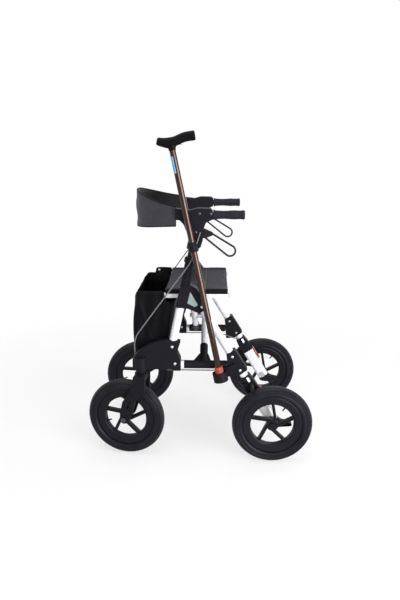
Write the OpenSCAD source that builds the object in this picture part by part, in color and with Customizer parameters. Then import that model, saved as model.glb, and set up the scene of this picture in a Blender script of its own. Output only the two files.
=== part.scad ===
// All terrain rollator: a walking frame on four air tyres that folds sideways, with a cane in its holder.
// Millimetres. +X is forward, +Y is the user's left, +Z is up. The origin is on the floor under the middle.

/* [Wheels] */
// Outer diameter of the air tyres
wheel_d = 300; // [292:1:306]
// Width of the tyre section
tyre_w = 46; // [42:1:48]
// Distance between the front and rear wheel centres
wheel_base = 554; // [546:1:566]
// Distance between the middles of the rear tyres
rear_track = 550; // [548:1:566]
// Wheel centre ahead of the swivel axis
caster_trail = 62; // [58:1:66]
// Turn of the left caster at rest
left_turn = 10; // [0:1:16]
// Turn of the right caster at rest
right_turn = 10; // [0:1:16]
// Spokes in a wheel
spokes = 5; // [4:1:6]
// Diameter of the wheel axles
axle_d = 12; // [10:1:14]

/* [Side frames] */
// Distance between the two side frames
frame_track = 450; // [444:1:452]
// Outer diameter of the leg tubes
tube_d = 30; // [28:0.5:31]
// Wall of the leg tubes
tube_wall = 2; // [1.5:0.25:2.5]
// Backward lean of the front leg and handle post
post_lean = 12; // [11:0.25:12.5]
// Height of the lower rail over the tops of the wheels
rail_over = 64; // [60:1:68]
// Outer diameter of the lower rail
rail_d = 24; // [22:0.5:26]
// Thickness of the moulded frame blocks
block_t = 36; // [34:0.5:38]
// Distance from the top of the outer post up to the middle of the grips
post_under = 150; // [146:1:156]

/* [Handles] */
// Height of the middle of the grips over the tops of the wheels
grip_over = 621; // [616:1:626]
// Outer diameter of the grips
grip_d = 31; // [28:0.5:33]
// Length of the grips
grip_l = 111; // [100:1:120]
// Wire diameter of the brake levers
wire_d = 7; // [6:0.25:8]
// Outer diameter of the brake cables
cable_d = 5; // [4:0.25:5.5]

/* [Seat and back] */
// Height of the middle of the seat rails over the tops of the wheels
seat_over = 320; // [314:1:324]
// Distance between the middles of the seat rails
seat_track = 370; // [360:1:372]
// Length of the seat rails
seat_l = 237; // [228:1:242]
// Diameter of the crossed fold tubes
cross_d = 24; // [22:0.5:25]
// Distance between the middles of the crossed fold tubes along the rails
cross_gap = 42; // [38:1:46]
// Thickness of the back band
back_t = 7; // [5:0.5:9]

/* [Cane] */
// Diameter of the cane's tube
cane_d = 22; // [20:0.5:24]
// Lean of the stowed cane
cane_lean = 11.7; // [11.2:0.1:12]

/* [Hidden] */
running = 0.3;
seating = 0.05;
fit = 0.05;
$fn = 48;

silver = [0.85, 0.85, 0.87];
black = [0.11, 0.11, 0.12];
tyre_grey = [0.17, 0.17, 0.19];
cloth = [0.24, 0.24, 0.28];
copper = [0.45, 0.24, 0.14];
red = [0.72, 0.2, 0.18];
steel = [0.75, 0.76, 0.78];
cable_grey = [0.55, 0.55, 0.57];

// Main lines in side view, as X and Z
wheel_r = wheel_d / 2;
frame_y = frame_track / 2;
wheel_y = rear_track / 2 - frame_y;
axle = [-wheel_base / 2, wheel_r];
caster_x = wheel_base / 2 - caster_trail;
caster_y = 8;
tube_bore = tube_d - 2 * tube_wall;
rail_z = wheel_d + rail_over;
grip_z = wheel_d + grip_over;
post_top_z = grip_z - post_under;
seat_z = wheel_d + seat_over;
hub_z = wheel_d + 288;
hub_x = 65;
function post(z) = [hub_x - tan(post_lean) * (z - hub_z), z];
rear_top = [-7, hub_z + 6];
rear_lean = atan2(rear_top[0] - axle[0], rear_top[1] - axle[1]);
// Point on the rear leg's line at the distance s from the axle, and the line's X at the height z.
function rear(s) = axle + s * [sin(rear_lean), cos(rear_lean)];
function rear_x(z) = axle[0] + tan(rear_lean) * (z - axle[1]);
// Outline whose heights are given from the height z.
function from(z, pts) = [for (p = pts) [p[0], z + p[1]]];

// Shared shapes
module side(s) {
  if (s > 0) translate([0, frame_y, 0]) children();
  else mirror([0, 1, 0]) translate([0, frame_y, 0]) children();
}
module stand(p, q) {
  translate([p[0], 0, p[1]]) rotate([0, atan2(q[0] - p[0], q[1] - p[1]), 0]) children();
}
module plate(points, t, y = 0) {
  translate([0, y, 0]) rotate([90, 0, 0]) linear_extrude(height = t, center = true) polygon(points);
}
module pipe(d, bore, l) {
  difference() {
    cylinder(d = d, h = l);
    translate([0, 0, -1]) cylinder(d = bore, h = l + 2);
  }
}
module across(p, d, y0, y1) {
  translate([p[0], y0, p[1]]) rotate([-90, 0, 0]) cylinder(d = d, h = y1 - y0);
}
module stadium(w, t) {
  square([w - t, t], center = true);
  for (k = [-1, 1]) translate([k * (w - t) / 2, 0]) circle(d = t);
}
function unit(v) = v / norm(v);
// Point r from p towards q, but no further than nearly half way.
function towards(p, q, r) = p + min(r, 0.48 * norm(q - p)) * unit(q - p);
// Rounds the corners of an outline: each becomes a short curve that starts r before it and ends r after it.
function soft(pts, r, n = 4) = [for (i = [0:len(pts) - 1])
  let (p = pts[i],
    a = towards(p, pts[(i + len(pts) - 1) % len(pts)], r),
    c = towards(p, pts[(i + 1) % len(pts)], r))
  for (k = [0:n]) let (t = k / n) (1 - t) * (1 - t) * a + 2 * t * (1 - t) * p + t * t * c];
// A smooth curve through the route's points, n steps between neighbours.
function curve(p, n) = [for (i = [0:len(p) - 2])
  let (a = p[max(i - 1, 0)], b = p[i], c = p[i + 1], d = p[min(i + 2, len(p) - 1)])
  for (k = [0:(i == len(p) - 2 ? n : n - 1)])
    let (t = k / n)
    0.5 * (2 * b + (c - a) * t + (2 * a - 5 * b + 4 * c - d) * t * t + (3 * b - a - 3 * c + d) * t * t * t)];
// A closed tube along a curve near the side plane; w and h are its half sizes at each point.
module sweep(path, w, h, sides) {
  last = len(path) - 1;
  rings = [for (i = [0:last])
    let (dir = unit(path[min(i + 1, last)] - path[max(i - 1, 0)]),
      n = unit(cross(dir, [0, 1, 0])), m = cross(dir, n))
    for (k = [0:sides - 1]) let (a = 360 * k / sides) path[i] + h[i] * cos(a) * n + w[i] * sin(a) * m];
  start = len(rings);
  walls = [for (i = [0:last - 1]) for (k = [0:sides - 1])
    let (a = i * sides + k, b = i * sides + (k + 1) % sides)
    for (f = [[a, a + sides, b], [b, a + sides, b + sides]]) f];
  caps = [for (k = [0:sides - 1])
    for (f = [[start, k, (k + 1) % sides],
      [start + 1, last * sides + (k + 1) % sides, last * sides + k]]) f];
  polyhedron(points = concat(rings, [path[0], path[last]]), faces = concat(walls, caps));
}
function same(path, r) = [for (p = path) r];

// Front leg with the handle post's outer tube in one piece
leg_foot_z = rail_z - 12;
module front_leg(s) {
  color(silver) side(s) stand(post(leg_foot_z), post(post_top_z))
    pipe(tube_d, tube_bore, norm(post(post_top_z) - post(leg_foot_z)));
}

// Hub that joins the post and the rear leg, with a sleeve up the post
hub_t = 40;
sleeve_d = tube_d + 4;
hub_outline = from(hub_z, [[82, 0], [66, 76], [30, 84], [8, 74], [-10, 49], [-37, -1], [-4, -21], [13, -14],
  [38, -3]]);
inlay = from(hub_z, [[29, 61], [40, 16], [12, 2], [-1, 10]]);
inlay_deep = 1.2;
rear_leg_top = norm(rear_top - axle) + 10;
hub_socket = 60;
module hub(s) {
  color(black) side(s) difference() {
    union() {
      plate(soft(hub_outline, 6), hub_t);
      stand(post(hub_z), post(post_top_z))
        cylinder(d = sleeve_d, h = norm(post(post_top_z) - post(hub_z)));
    }
    stand(post(leg_foot_z), post(post_top_z))
      cylinder(d = tube_d + 2 * seating, h = 2 * norm(post(post_top_z) - post(leg_foot_z)));
    stand(rear(rear_leg_top - hub_socket), rear(rear_leg_top))
      cylinder(d = tube_d + 2 * seating, h = hub_socket);
    plate(inlay, 2 * inlay_deep, hub_t / 2);
  }
}

// Rear leg tube, its block for the lower rail, and the brake housing below
leg_w = 46;
leg_t = 26;
leg_skin = 3;
housing_foot = wheel_r - 21;
housing_top = housing_foot + 71;
leg_seat = housing_foot + 11;
module rear_leg(s) {
  color(silver) side(s) stand(rear(leg_seat + seating), rear(rear_leg_top))
    pipe(tube_d, tube_bore, rear_leg_top - leg_seat - running);
}

block_x = rear_x(rail_z);
block_front_x = block_x + 40;
rail_gap = 2;
rail_rear_x = rear_x(rail_z + rail_d / 2) + tube_d / 2 / cos(rear_lean) + rail_gap;
rear_block_outline = from(rail_z, [[block_front_x, 20], [block_x + 43, 45], [block_x + 11, 63],
  [block_x - 37, -14], [block_x - 3, -39], [block_x + 36, -42]]);
module rear_block(s) {
  color(black) side(s) difference() {
    plate(soft(rear_block_outline, 5), block_t);
    stand(rear(leg_seat), rear(rear_leg_top)) cylinder(d = tube_d + 2 * seating, h = rear_leg_top);
    translate([rail_rear_x, 0, rail_z]) rotate([0, 90, 0]) cylinder(d = rail_d + 2 * seating, h = 2 * rail_d);
  }
}

tongue = 20;
housing_outline = [[-23, housing_foot], [23, housing_foot], [23, housing_foot + 39], [19, housing_top],
  [-19, housing_top], [-23, housing_foot + 39]];
housing_window = from(housing_foot, [[-16, 43], [-2, 43], [-2, 65], [-16, 65]]);
shoe_w = 14;
shoe_gap = 6;
shoe_reach = wheel_r + shoe_gap + shoe_w / 2;
shoe_pivot = [14, shoe_reach + 13];
pin_d = 6;
module brake_housing(s) {
  color(black) side(s) stand(axle, rear_top) difference() {
    union() {
      plate(soft(housing_outline, 4), block_t);
      translate([0, 0, housing_foot - tongue]) linear_extrude(height = tongue + 1)
        stadium(leg_w - 2 * leg_skin - 2 * seating, leg_t - 2 * leg_skin - 2 * seating);
      across(shoe_pivot, pin_d, 0, block_t / 2 + 14);
    }
    translate([0, 0, leg_seat]) cylinder(d = tube_d + 2 * seating, h = housing_top);
    plate(soft(housing_window, 3), block_t + 2);
  }
}

leg_end = -10;
module lower_leg(s) {
  color(silver) side(s) difference() {
    stand(axle, rear_top) translate([0, 0, leg_end]) linear_extrude(height = housing_foot - leg_end)
      difference() {
        stadium(leg_w, leg_t);
        stadium(leg_w - 2 * leg_skin, leg_t - 2 * leg_skin);
      }
    across(axle, axle_d + 2 * seating, -leg_t, leg_t);
  }
}

reflector_l = 62;
reflector_w = 14;
reflector_t = 3;
reflector_at = housing_foot - 49;
module reflector(s) {
  color(red) side(s) stand(axle, rear_top)
    translate([-leg_w / 2 - seating - reflector_t, -reflector_w / 2, reflector_at])
      cube([reflector_t, reflector_w, reflector_l]);
}

// Pedal for tipping the frame over kerbs, plugged into the foot of the lower leg
pedal_t = 24;
pedal_plug = 35;
pedal_shape = [[14, -21], [-25, 3], [-37, -8], [-75, -18], [-81, -24], [-76, -30], [-15, -35], [7, -31]];
pedal_outline = [for (p = pedal_shape) axle + p];
module kerb_pedal(s) {
  color(black) side(s) difference() {
    union() {
      stand(axle, rear_top) translate([0, 0, leg_end - 1]) linear_extrude(height = pedal_plug + 1)
        stadium(leg_w - 2 * leg_skin - 2 * seating, leg_t - 2 * leg_skin - 2 * seating);
      difference() {
        plate(soft(pedal_outline, 3), pedal_t);
        stand(axle, rear_top) translate([-leg_w, -leg_t, leg_end - seating])
          cube([2 * leg_w, 2 * leg_t, leg_w]);
      }
    }
    across(axle, axle_d + 2 * seating, -leg_t, leg_t);
  }
}

// Lower rail, the pin of the fold, with a shoulder that the tee runs against
rail_front_x = 93;
shoulder_x = 53;
shoulder_d = 33;
arm_rear_x = 65;
module lower_rail(s) {
  color(silver) side(s) translate([rail_rear_x + running, 0, rail_z]) rotate([0, 90, 0]) {
    pipe(rail_d, rail_d - 2 * tube_wall, rail_front_x - rail_rear_x - running);
    translate([0, 0, shoulder_x - rail_rear_x - running])
      pipe(shoulder_d, rail_d - 1, arm_rear_x - shoulder_x - running);
  }
}

// Front arm: holds the front leg, the lower rail and the caster's barrel
arm_floor_z = rail_z - 15;
arc_r = 166;
arc_centre = [106, rail_z - 67];
arc_edge = 9;
barrel_d = 52;
barrel_top_z = arm_floor_z + 46;
stem_d = 20;
stem_top_z = arm_floor_z + 40;
arm_front_x = caster_x + barrel_d / 2 + 3;
arm_top_z = arc_centre[1] + arc_r + 10;
arm_rear = from(rail_z, [[arm_rear_x, -20], [arm_rear_x, 24], [arm_rear_x + 13, 55], [arm_rear_x + 1, 90]]);
arm_outline = concat(arm_rear, [[arm_rear_x + 1, arm_top_z], [arm_front_x, arm_top_z],
  [arm_front_x, arm_floor_z], [arm_rear_x + 35, arm_floor_z], [arm_rear_x + 27, rail_z - 20]]);
gate_x = 236;
gate_floor_z = stem_top_z - 1;
cable_out_x = 122;
outlet_d = cable_d + 4;
// Disc with the arm's arc as its edge, which is rounded over on both faces
module arc_disc() {
  translate([arc_centre[0], 0, arc_centre[1]]) rotate([90, 0, 0]) rotate_extrude($fn = 96) {
    translate([0, -block_t / 2]) square([arc_r - arc_edge, block_t]);
    translate([0, arc_edge - block_t / 2]) square([arc_r, block_t - 2 * arc_edge]);
    for (k = [-1, 1]) translate([arc_r - arc_edge, k * (block_t / 2 - arc_edge)]) circle(r = arc_edge);
  }
}
module front_arm(s) {
  color(black) side(s) difference() {
    union() {
      intersection() {
        plate(soft(arm_outline, 4), block_t);
        arc_disc();
      }
      translate([caster_x, caster_y, arm_floor_z]) cylinder(d = barrel_d, h = barrel_top_z - arm_floor_z);
    }
    stand(post(leg_foot_z), post(post_top_z)) cylinder(d = tube_d + 2 * seating, h = 2 * arc_r);
    translate([arm_rear_x - 1, 0, rail_z]) rotate([0, 90, 0])
      cylinder(d = rail_d + 2 * seating, h = post(rail_z)[0] - tube_d / 2 - arm_rear_x);
    translate([caster_x, caster_y, arm_floor_z - 1])
      cylinder(d = stem_d + 2 * fit, h = stem_top_z + running - arm_floor_z + 1);
    translate([gate_x, 0, gate_floor_z]) cylinder(d = cable_d + 2 * running, h = arc_r);
    translate([cable_out_x, 0, arm_floor_z - 1]) cylinder(d = outlet_d, h = 12);
  }
}

// Handle: inner tube, head with the arm to the back band, grip
handle_foot_z = post_top_z - 171;
collar_foot_z = grip_z - 122;
head_socket = 25;
tube_end_z = collar_foot_z + head_socket;
handle_d = tube_bore - 2 * running;
module handle_tube(s) {
  color(silver) side(s) stand(post(handle_foot_z), post(tube_end_z))
    pipe(handle_d, handle_d - 2 * tube_wall, norm(post(tube_end_z) - post(handle_foot_z)));
}

head_t = 34;
collar_d = 44;
stub_d = 20;
collar_l = 38;
grip_x = -52;
back_end_x = 80;
head_front_x = back_end_x - seating;
head_outline = from(grip_z, [[37, -109], [33, -83], [42, -54], [51, -32], [64, -18], [head_front_x, -16],
  [head_front_x, 23], [28, 17], [2, 24], [-44, 23], [grip_x + 1, 16], [grip_x + 1, -15], [-28, -25],
  [-18, -51], [-17, -87], [-8, -115]]);
lever_pivot = [-8, grip_z - 61];
lever_t = 10;
lever_room = from(grip_z, [[4, -29], [4, -73], [-8, -83], [-20, -95], [-60, -121], [-60, -29]]);
module handle_head(s) {
  color(black) side(s) {
    difference() {
      union() {
        plate(soft(head_outline, 4), head_t);
        stand(post(collar_foot_z), post(tube_end_z)) cylinder(d = collar_d, h = collar_l);
        translate([grip_x + 10, 0, grip_z]) rotate([0, -90, 0]) cylinder(d = stub_d, h = grip_l + 4);
      }
      stand(post(collar_foot_z - 10), post(tube_end_z))
        cylinder(d = handle_d + 2 * seating, h = norm(post(tube_end_z) - post(collar_foot_z - 10)));
      plate(lever_room, lever_t + 2 * running);
    }
    across(lever_pivot, pin_d, -lever_t, lever_t);
  }
}

module grip(s) {
  ring = 2;
  end_t = 5.6;
  color(black) side(s) translate([grip_x - running, 0, grip_z]) rotate([0, -90, 0]) rotate_extrude()
    polygon([[stub_d / 2 + seating, 0], [grip_d / 2 + ring, 0], [grip_d / 2 + ring, 5], [grip_d / 2, 8],
      [grip_d / 2 - 1.5, grip_l * 0.35], [grip_d / 2 + 0.5, grip_l * 0.65], [grip_d / 2 - 0.5, grip_l * 0.85],
      [grip_d / 2 + 1, grip_l - 3], [grip_d / 2 - 2, grip_l], [0, grip_l], [0, grip_l - end_t],
      [stub_d / 2 + seating, grip_l - end_t]]);
}

// Brake lever: a root on the pivot and a closed wire loop, two strands that run off a round end
loop_centre = [-113, grip_z - 127];
loop_r = 19;
upper_start = [-34, grip_z - 57];
lower_start = [-18, grip_z - 75];
root_outline = from(grip_z, [[1, -51], [-20, -47], [-52, -61], [-54, -71], [-24, -83], [-10, -79], [2, -71]]);
// Where a line from p touches the loop's round end, on the side given by turn.
function touch(p, turn) =
  let (d = p - loop_centre, a = atan2(d[1], d[0]) + turn * acos(loop_r / norm(d)))
  loop_centre + loop_r * [cos(a), sin(a)];
function heading(p) = atan2(p[1] - loop_centre[1], p[0] - loop_centre[0]);
module brake_lever(s) {
  up = heading(touch(upper_start, 1));
  turn = (heading(touch(lower_start, -1)) - up + 720) % 360;
  round_end = [for (k = [0:18]) let (a = up + turn * k / 18) loop_centre + loop_r * [cos(a), sin(a)]];
  wire = [for (p = concat([upper_start], round_end, [lower_start])) [p[0], 0, p[1]]];
  color(black) side(s) difference() {
    union() {
      plate(soft(root_outline, 4), lever_t);
      sweep(wire, same(wire, wire_d / 2), same(wire, wire_d / 2), 12);
    }
    across(lever_pivot, pin_d + 2 * fit, -lever_t, lever_t);
  }
}

// Brake shoe: swings on the housing's pin and presses a bar on the tread
module brake_shoe(s) {
  bar = [-8, shoe_reach];
  bar_y = block_t / 2 + running;
  arm = [shoe_pivot + [8, 8], shoe_pivot + [8, -8], bar + [-6, -6], bar + [-8, 6]];
  color(black) side(s) stand(axle, rear_top) difference() {
    union() {
      plate(soft(arm, 4), 8, bar_y + 4);
      across(bar, shoe_w, bar_y, wheel_y + tyre_w / 2 - 2);
    }
    across(shoe_pivot, pin_d + 2 * fit, 0, 60);
  }
}

// Brake cable: from the handle to the front arm, and under the lower rail to the brake housing
cable_y = 26;
cable_z = rail_z - 23;
cable_turn_z = post_top_z - 18;
gate_top_z = gate_floor_z + 52;
function cable_fall(part) = cable_turn_z - part * (cable_turn_z - gate_top_z);
upper_route = [[-8, head_t / 2 + cable_d / 2 + running, grip_z - 59], [4, cable_y, grip_z - 96],
  [16, cable_y, grip_z - 131], [29, cable_y, cable_turn_z], [90, 24, cable_fall(0.27)],
  [150, 23, cable_fall(0.53)], [200, 21, cable_fall(0.75)], [226, 15, cable_fall(0.875)],
  [gate_x, 5, gate_top_z], [gate_x, 0, gate_floor_z + 27], [gate_x, 0, gate_floor_z + 6]];
// Point beside the rear leg: a square to its line, y aside, s along it from the axle.
function by_leg(a, y, s) = [rear(s)[0] + a * cos(rear_lean), y, rear(s)[1] - a * sin(rear_lean)];
lower_route = [[cable_out_x, 0, arm_floor_z + 8], [cable_out_x, 0, arm_floor_z - 3],
  [cable_out_x - 7, 0, cable_z + 1], [cable_out_x - 18, 0, cable_z], [40, 0, cable_z], [-60, 0, cable_z],
  [block_x + 61, -10, cable_z], [block_x + 43, -21.5, cable_z - 1], [block_x + 29, -22.5, cable_z - 5],
  [block_x + 9, -22.5, cable_z - 13], by_leg(19.5, -21.2, housing_top + 14.3),
  by_leg(14.7, -15, housing_top + 9.7), by_leg(14.1, -13.2, housing_top + 6.2),
  by_leg(14, -13, housing_top + 0.5)];
module brake_cable(s) {
  color(cable_grey) side(s) {
    upper = curve(upper_route, 5);
    lower = curve(lower_route, 4);
    sweep(upper, same(upper, cable_d / 2), same(upper, cable_d / 2), 8);
    sweep(lower, same(lower, cable_d / 2), same(lower, cable_d / 2), 8);
  }
}

// Caster fork with its stem, and the axle set
tyre_gap = 5;
crown_foot_z = wheel_d + tyre_gap;
crown_top_z = arm_floor_z - 17;
fork_in = tyre_w / 2 + 6;
fork_leg = 9;
fork_out = fork_in + fork_leg;
function turn_of(s) = s > 0 ? left_turn : right_turn;
module on_caster(s) {
  side(s) translate([caster_x, caster_y, 0]) rotate([0, 0, -turn_of(s)]) children();
}
module caster_fork(s) {
  axle_at = [caster_trail, wheel_r];
  leg_outline = concat(from(crown_top_z, [[-26, -2], [20, -2]]), from(crown_foot_z, [[21, -8], [40, -47]]),
    from(wheel_r, [[caster_trail + 2, 74], [caster_trail + 14, 24], [caster_trail + 13, -8],
    [caster_trail + 5, -16], [caster_trail - 9, -16], [caster_trail - 26, 4], [caster_trail - 36, 34],
    [caster_trail - 49, 80]]),
    from(crown_foot_z, [[-24, -44]]));
  crown_outline = concat(from(crown_foot_z, [[-21, 0], [16, 0]]),
    from(crown_top_z, [[16, -7], [10, 0], [-15, 0], [-21, -7]]));
  window = from(wheel_r, [[30, 78], [39, 76], [51, 48], [42, 46]]);
  stem_collar_d = 46;
  stem_neck_d = 36;
  color(black) on_caster(s) difference() {
    union() {
      for (k = [-1, 1]) plate(soft(leg_outline, 6), fork_leg, k * (fork_in + fork_leg / 2));
      plate(soft(crown_outline, 3), 2 * fork_in + 2);
      translate([0, 0, crown_top_z - 8]) cylinder(d = stem_collar_d, h = 8);
      translate([0, 0, crown_top_z - 1])
        cylinder(d = stem_neck_d, h = arm_floor_z - running - crown_top_z + 1);
      translate([0, 0, crown_top_z]) cylinder(d = stem_d, h = stem_top_z - crown_top_z);
    }
    across(axle_at, axle_d + 2 * seating, -2 * fork_out, 2 * fork_out);
    plate(soft(window, 3), 4 * fork_out);
  }
}

hub_half = 16;
nut_d = 22;
module axle_set(y0, y1) {
  across([0, 0], axle_d, y0, y1);
  across([0, 0], nut_d, y0 - 6, y0);
  translate([0, y1, 0]) rotate([-90, 0, 0]) cylinder(d = nut_d, h = 6, $fn = 6);
}
module spacer(y0, y1) {
  translate([0, y0, 0]) rotate([-90, 0, 0]) pipe(axle_d + 6, axle_d + 2 * seating, y1 - y0);
}
module front_axle(s) {
  color(steel) on_caster(s) translate([caster_trail, 0, wheel_r]) {
    axle_set(-fork_out - seating, fork_out + seating);
    for (k = [0, 1]) mirror([0, k, 0]) spacer(hub_half + running, fork_in - seating);
  }
}

// Wheel: moulded rim with spokes, air tyre with its valve
rim_r = wheel_r * 0.752;
rim_in = wheel_r * 0.54;
rim_w = 17;
rim_floor = 6;
channel_r = rim_in + rim_floor;
wheel_hub_d = 44;
spoke_lean = 10;
spoke_top = rim_in + 3;
spoke_run = (spoke_top - 5) / cos(spoke_lean);
spoke_w = 11;
spoke_rib = 4;
valve_d = 8;
half_gap = 180 / spokes;
rim_half = [[channel_r, 11], [rim_r - seating, 11], [rim_r - seating, rim_w - 2], [rim_r - 6, rim_w],
  [rim_in + 4, 14], [rim_in, 11]];
rim_outline = concat(rim_half, [for (i = [len(rim_half) - 1:-1:0]) [rim_half[i][0], -rim_half[i][1]]]);
module rim_shape(phase, valve) {
  difference() {
    union() {
      rotate([90, 0, 0]) rotate_extrude($fn = 96) polygon(rim_outline);
      across([0, 0], wheel_hub_d, -hub_half, hub_half);
      for (i = [0:spokes - 1])
        rotate([0, phase + 2 * i * half_gap, 0]) translate([0, 0, spoke_top]) rotate([0, spoke_lean, 0]) {
          translate([-spoke_w / 2, -9, -spoke_run]) cube([spoke_w, 18, spoke_run]);
          translate([-spoke_rib / 2, -12, -spoke_run]) cube([spoke_rib, 24, spoke_run]);
        }
    }
    across([0, 0], axle_d + 2 * fit, -2 * hub_half, 2 * hub_half);
    rotate([0, valve, 0]) translate([0, 0, rim_in - 15]) cylinder(d = valve_d + 2 * seating, h = wheel_r);
  }
}
module tyre_shape(valve) {
  mid_r = wheel_r - tyre_w / 2;
  rotate([90, 0, 0]) rotate_extrude($fn = 96) difference() {
    union() {
      translate([mid_r, 0]) circle(d = tyre_w, $fn = 64);
      for (k = [-1, 1]) translate([mid_r + tyre_w * 0.29, k * tyre_w * 0.39]) circle(d = 4.4, $fn = 24);
      translate([rim_r, -rim_w + 1]) square([14, 2 * rim_w - 2]);
    }
    translate([mid_r, 0]) circle(d = tyre_w - 10, $fn = 64);
    translate([0, -tyre_w]) square([rim_r, 2 * tyre_w]);
    translate([channel_r, -10]) square([mid_r - channel_r, 20]);
    for (k = [-1, 0, 1]) translate([wheel_r - 1.6, k * 8 - 1]) square([4, 2]);
  }
  rotate([0, valve, 0]) translate([0, 0, rim_in - 14]) cylinder(d = valve_d, h = channel_r - rim_in + 16);
}
front_phase = 1;
front_valve = front_phase + 3 * half_gap;
rear_valve = -half_gap;
module front_rim(s) {
  color(black) on_caster(s) translate([caster_trail, 0, wheel_r]) rim_shape(front_phase, front_valve);
}
module front_tyre(s) {
  color(tyre_grey) on_caster(s) translate([caster_trail, 0, wheel_r]) tyre_shape(front_valve);
}
module on_rear(s) { side(s) translate([axle[0], wheel_y, wheel_r]) children(); }
module rear_rim(s) { color(black) on_rear(s) rim_shape(0, rear_valve); }
module rear_tyre(s) { color(tyre_grey) on_rear(s) tyre_shape(rear_valve); }

// Rear axle set and the rivets of one side frame
rivets = from(rail_z, [[96, 74], [86, 8], [block_x + 21, 37], [block_x - 9, -16]]);
hub_rivet = [-14, hub_z + 4];
rivet_head = 2;
rivet_d = 9;
module fasteners(s) {
  hub_in = wheel_y - hub_half;
  color(steel) side(s) {
    translate([axle[0], 0, axle[1]]) {
      axle_set(-leg_t / 2 - seating, wheel_y + hub_half + running);
      spacer(leg_t / 2 + seating, hub_in - running);
    }
    for (p = rivets) for (k = [-1, 1]) mirror([0, k > 0 ? 0 : 1, 0])
      across(p, rivet_d, block_t / 2 + seating, block_t / 2 + rivet_head);
    across(hub_rivet, rivet_d, hub_t / 2 + seating, hub_t / 2 + rivet_head);
  }
}

// Crossed fold tubes: tube a stands on the left rail and carries the right seat rail, tube b the reverse
seat_y = seat_track / 2;
seat_drop = 26;
cross_reach = norm([frame_y + seat_y, seat_z - rail_z]);
cross_tilt = atan2(seat_z - rail_z, frame_y + seat_y) - asin(seat_drop / cross_reach);
cross_l = sqrt(cross_reach * cross_reach - seat_drop * seat_drop);
cross_mid = frame_y / cos(cross_tilt);
cross_end = cross_l - 53;
pivot_d = 10;
cross_x = 1;
module on_cross(k) {
  mirror([0, k > 0 ? 0 : 1, 0]) translate([cross_x - k * cross_gap / 2, frame_y, rail_z])
    rotate([90 - cross_tilt, 0, 0]) children();
}
tee_d = 31;
tee_collar = 95;
tee_rear_x = block_front_x + running;
tee_front_x = shoulder_x - running;
module cross_tube(k) {
  color(silver) on_cross(k) difference() {
    translate([0, 0, tee_d / 2 + 2]) pipe(cross_d, cross_d - 2 * tube_wall, cross_end - tee_d / 2 - 2);
    translate([-cross_d, 0, cross_mid]) rotate([0, 90, 0]) cylinder(d = pivot_d + 2 * fit, h = 2 * cross_d);
  }
}
module cross_tee(k) {
  at_x = cross_x - k * cross_gap / 2;
  gusset = [for (p = [[-30, 2], [44, 2], [17, 46], [-17, 46]]) [k * p[0], p[1]]];
  color(black) on_cross(k) difference() {
    union() {
      translate([tee_rear_x - at_x, 0, 0]) rotate([0, 90, 0])
        cylinder(d = tee_d, h = tee_front_x - tee_rear_x);
      cylinder(d = cross_d + 6, h = tee_collar);
      plate(soft(gusset, 2), 16);
    }
    translate([tee_rear_x - at_x - 1, 0, 0]) rotate([0, 90, 0])
      cylinder(d = rail_d + 2 * fit, h = tee_front_x - tee_rear_x + 2);
    translate([0, 0, tee_d / 2 + 2]) cylinder(d = cross_d + 2 * seating, h = tee_collar);
  }
}
module centre_pivot() {
  reach = cross_gap / 2 + cross_d / 2 + running;
  color(steel) translate([cross_x, 0, rail_z + cross_mid * sin(cross_tilt)]) rotate([0, 90, 0]) {
    translate([0, 0, -reach]) cylinder(d = pivot_d, h = 2 * reach);
    translate([0, 0, -reach - 6]) cylinder(d = 18, h = 6);
    translate([0, 0, reach]) cylinder(d = 18, h = 6, $fn = 6);
    translate([0, 0, -cross_gap / 2 + cross_d / 2 + running])
      pipe(20, pivot_d + 2 * seating, cross_gap - cross_d - 2 * running);
  }
}

// Seat rails: each hangs on a web over the socket that a fold tube ends in
seat_front_x = 126;
bar_h = 15;
bar_w = 22;
socket_l = 28;
web_w = 24;
web_outline = [[6, cross_end - 25], [6, cross_end + 3], [18, cross_end + 45], [30, cross_end + 49],
  [26, cross_end + 23], [12, cross_end - 25]];
module seat_rail(k) {
  color(silver) difference() {
    union() {
      translate([seat_front_x - seat_l, -k * seat_y - bar_w / 2, seat_z - bar_h / 2])
        cube([seat_l, bar_w, bar_h]);
      on_cross(k) {
        translate([0, 0, cross_end - socket_l]) cylinder(d = cross_d + 6, h = socket_l + 2);
        rotate([90, 0, 90]) linear_extrude(height = web_w, center = true) polygon(web_outline);
      }
    }
    on_cross(k) translate([0, 0, cross_end - socket_l - 1])
      cylinder(d = cross_d + 2 * seating, h = socket_l + 1 + running);
  }
}

// Seat cloth hung between the rails: it wraps over them and sags a little
sling_t = 4;
sling_sag = 9;
sling_steps = 16;
sling_in = 3;
module seat_sling() {
  over = seat_z + bar_h / 2 + running;
  half = seat_y + bar_w / 2;
  hem = 17;
  function drape(y) = over + hem - sling_sag * (1 - pow(y / half, 2));
  top = [for (i = [0:sling_steps]) let (y = -half + 2 * half * i / sling_steps) [y, drape(y)]];
  under = [for (i = [0:sling_steps])
    let (y = (half - bar_w) * (1 - 2 * i / sling_steps)) [y, drape(y) - sling_t]];
  right_hem = [[half, over], [half - bar_w, over]];
  left_hem = [[-half + bar_w, over], [-half, over]];
  color(cloth) translate([seat_front_x - seat_l + sling_in, 0, 0]) rotate([90, 0, 90])
    linear_extrude(height = seat_l - 2 * sling_in) polygon(concat(top, right_hem, under, left_hem));
}

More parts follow.
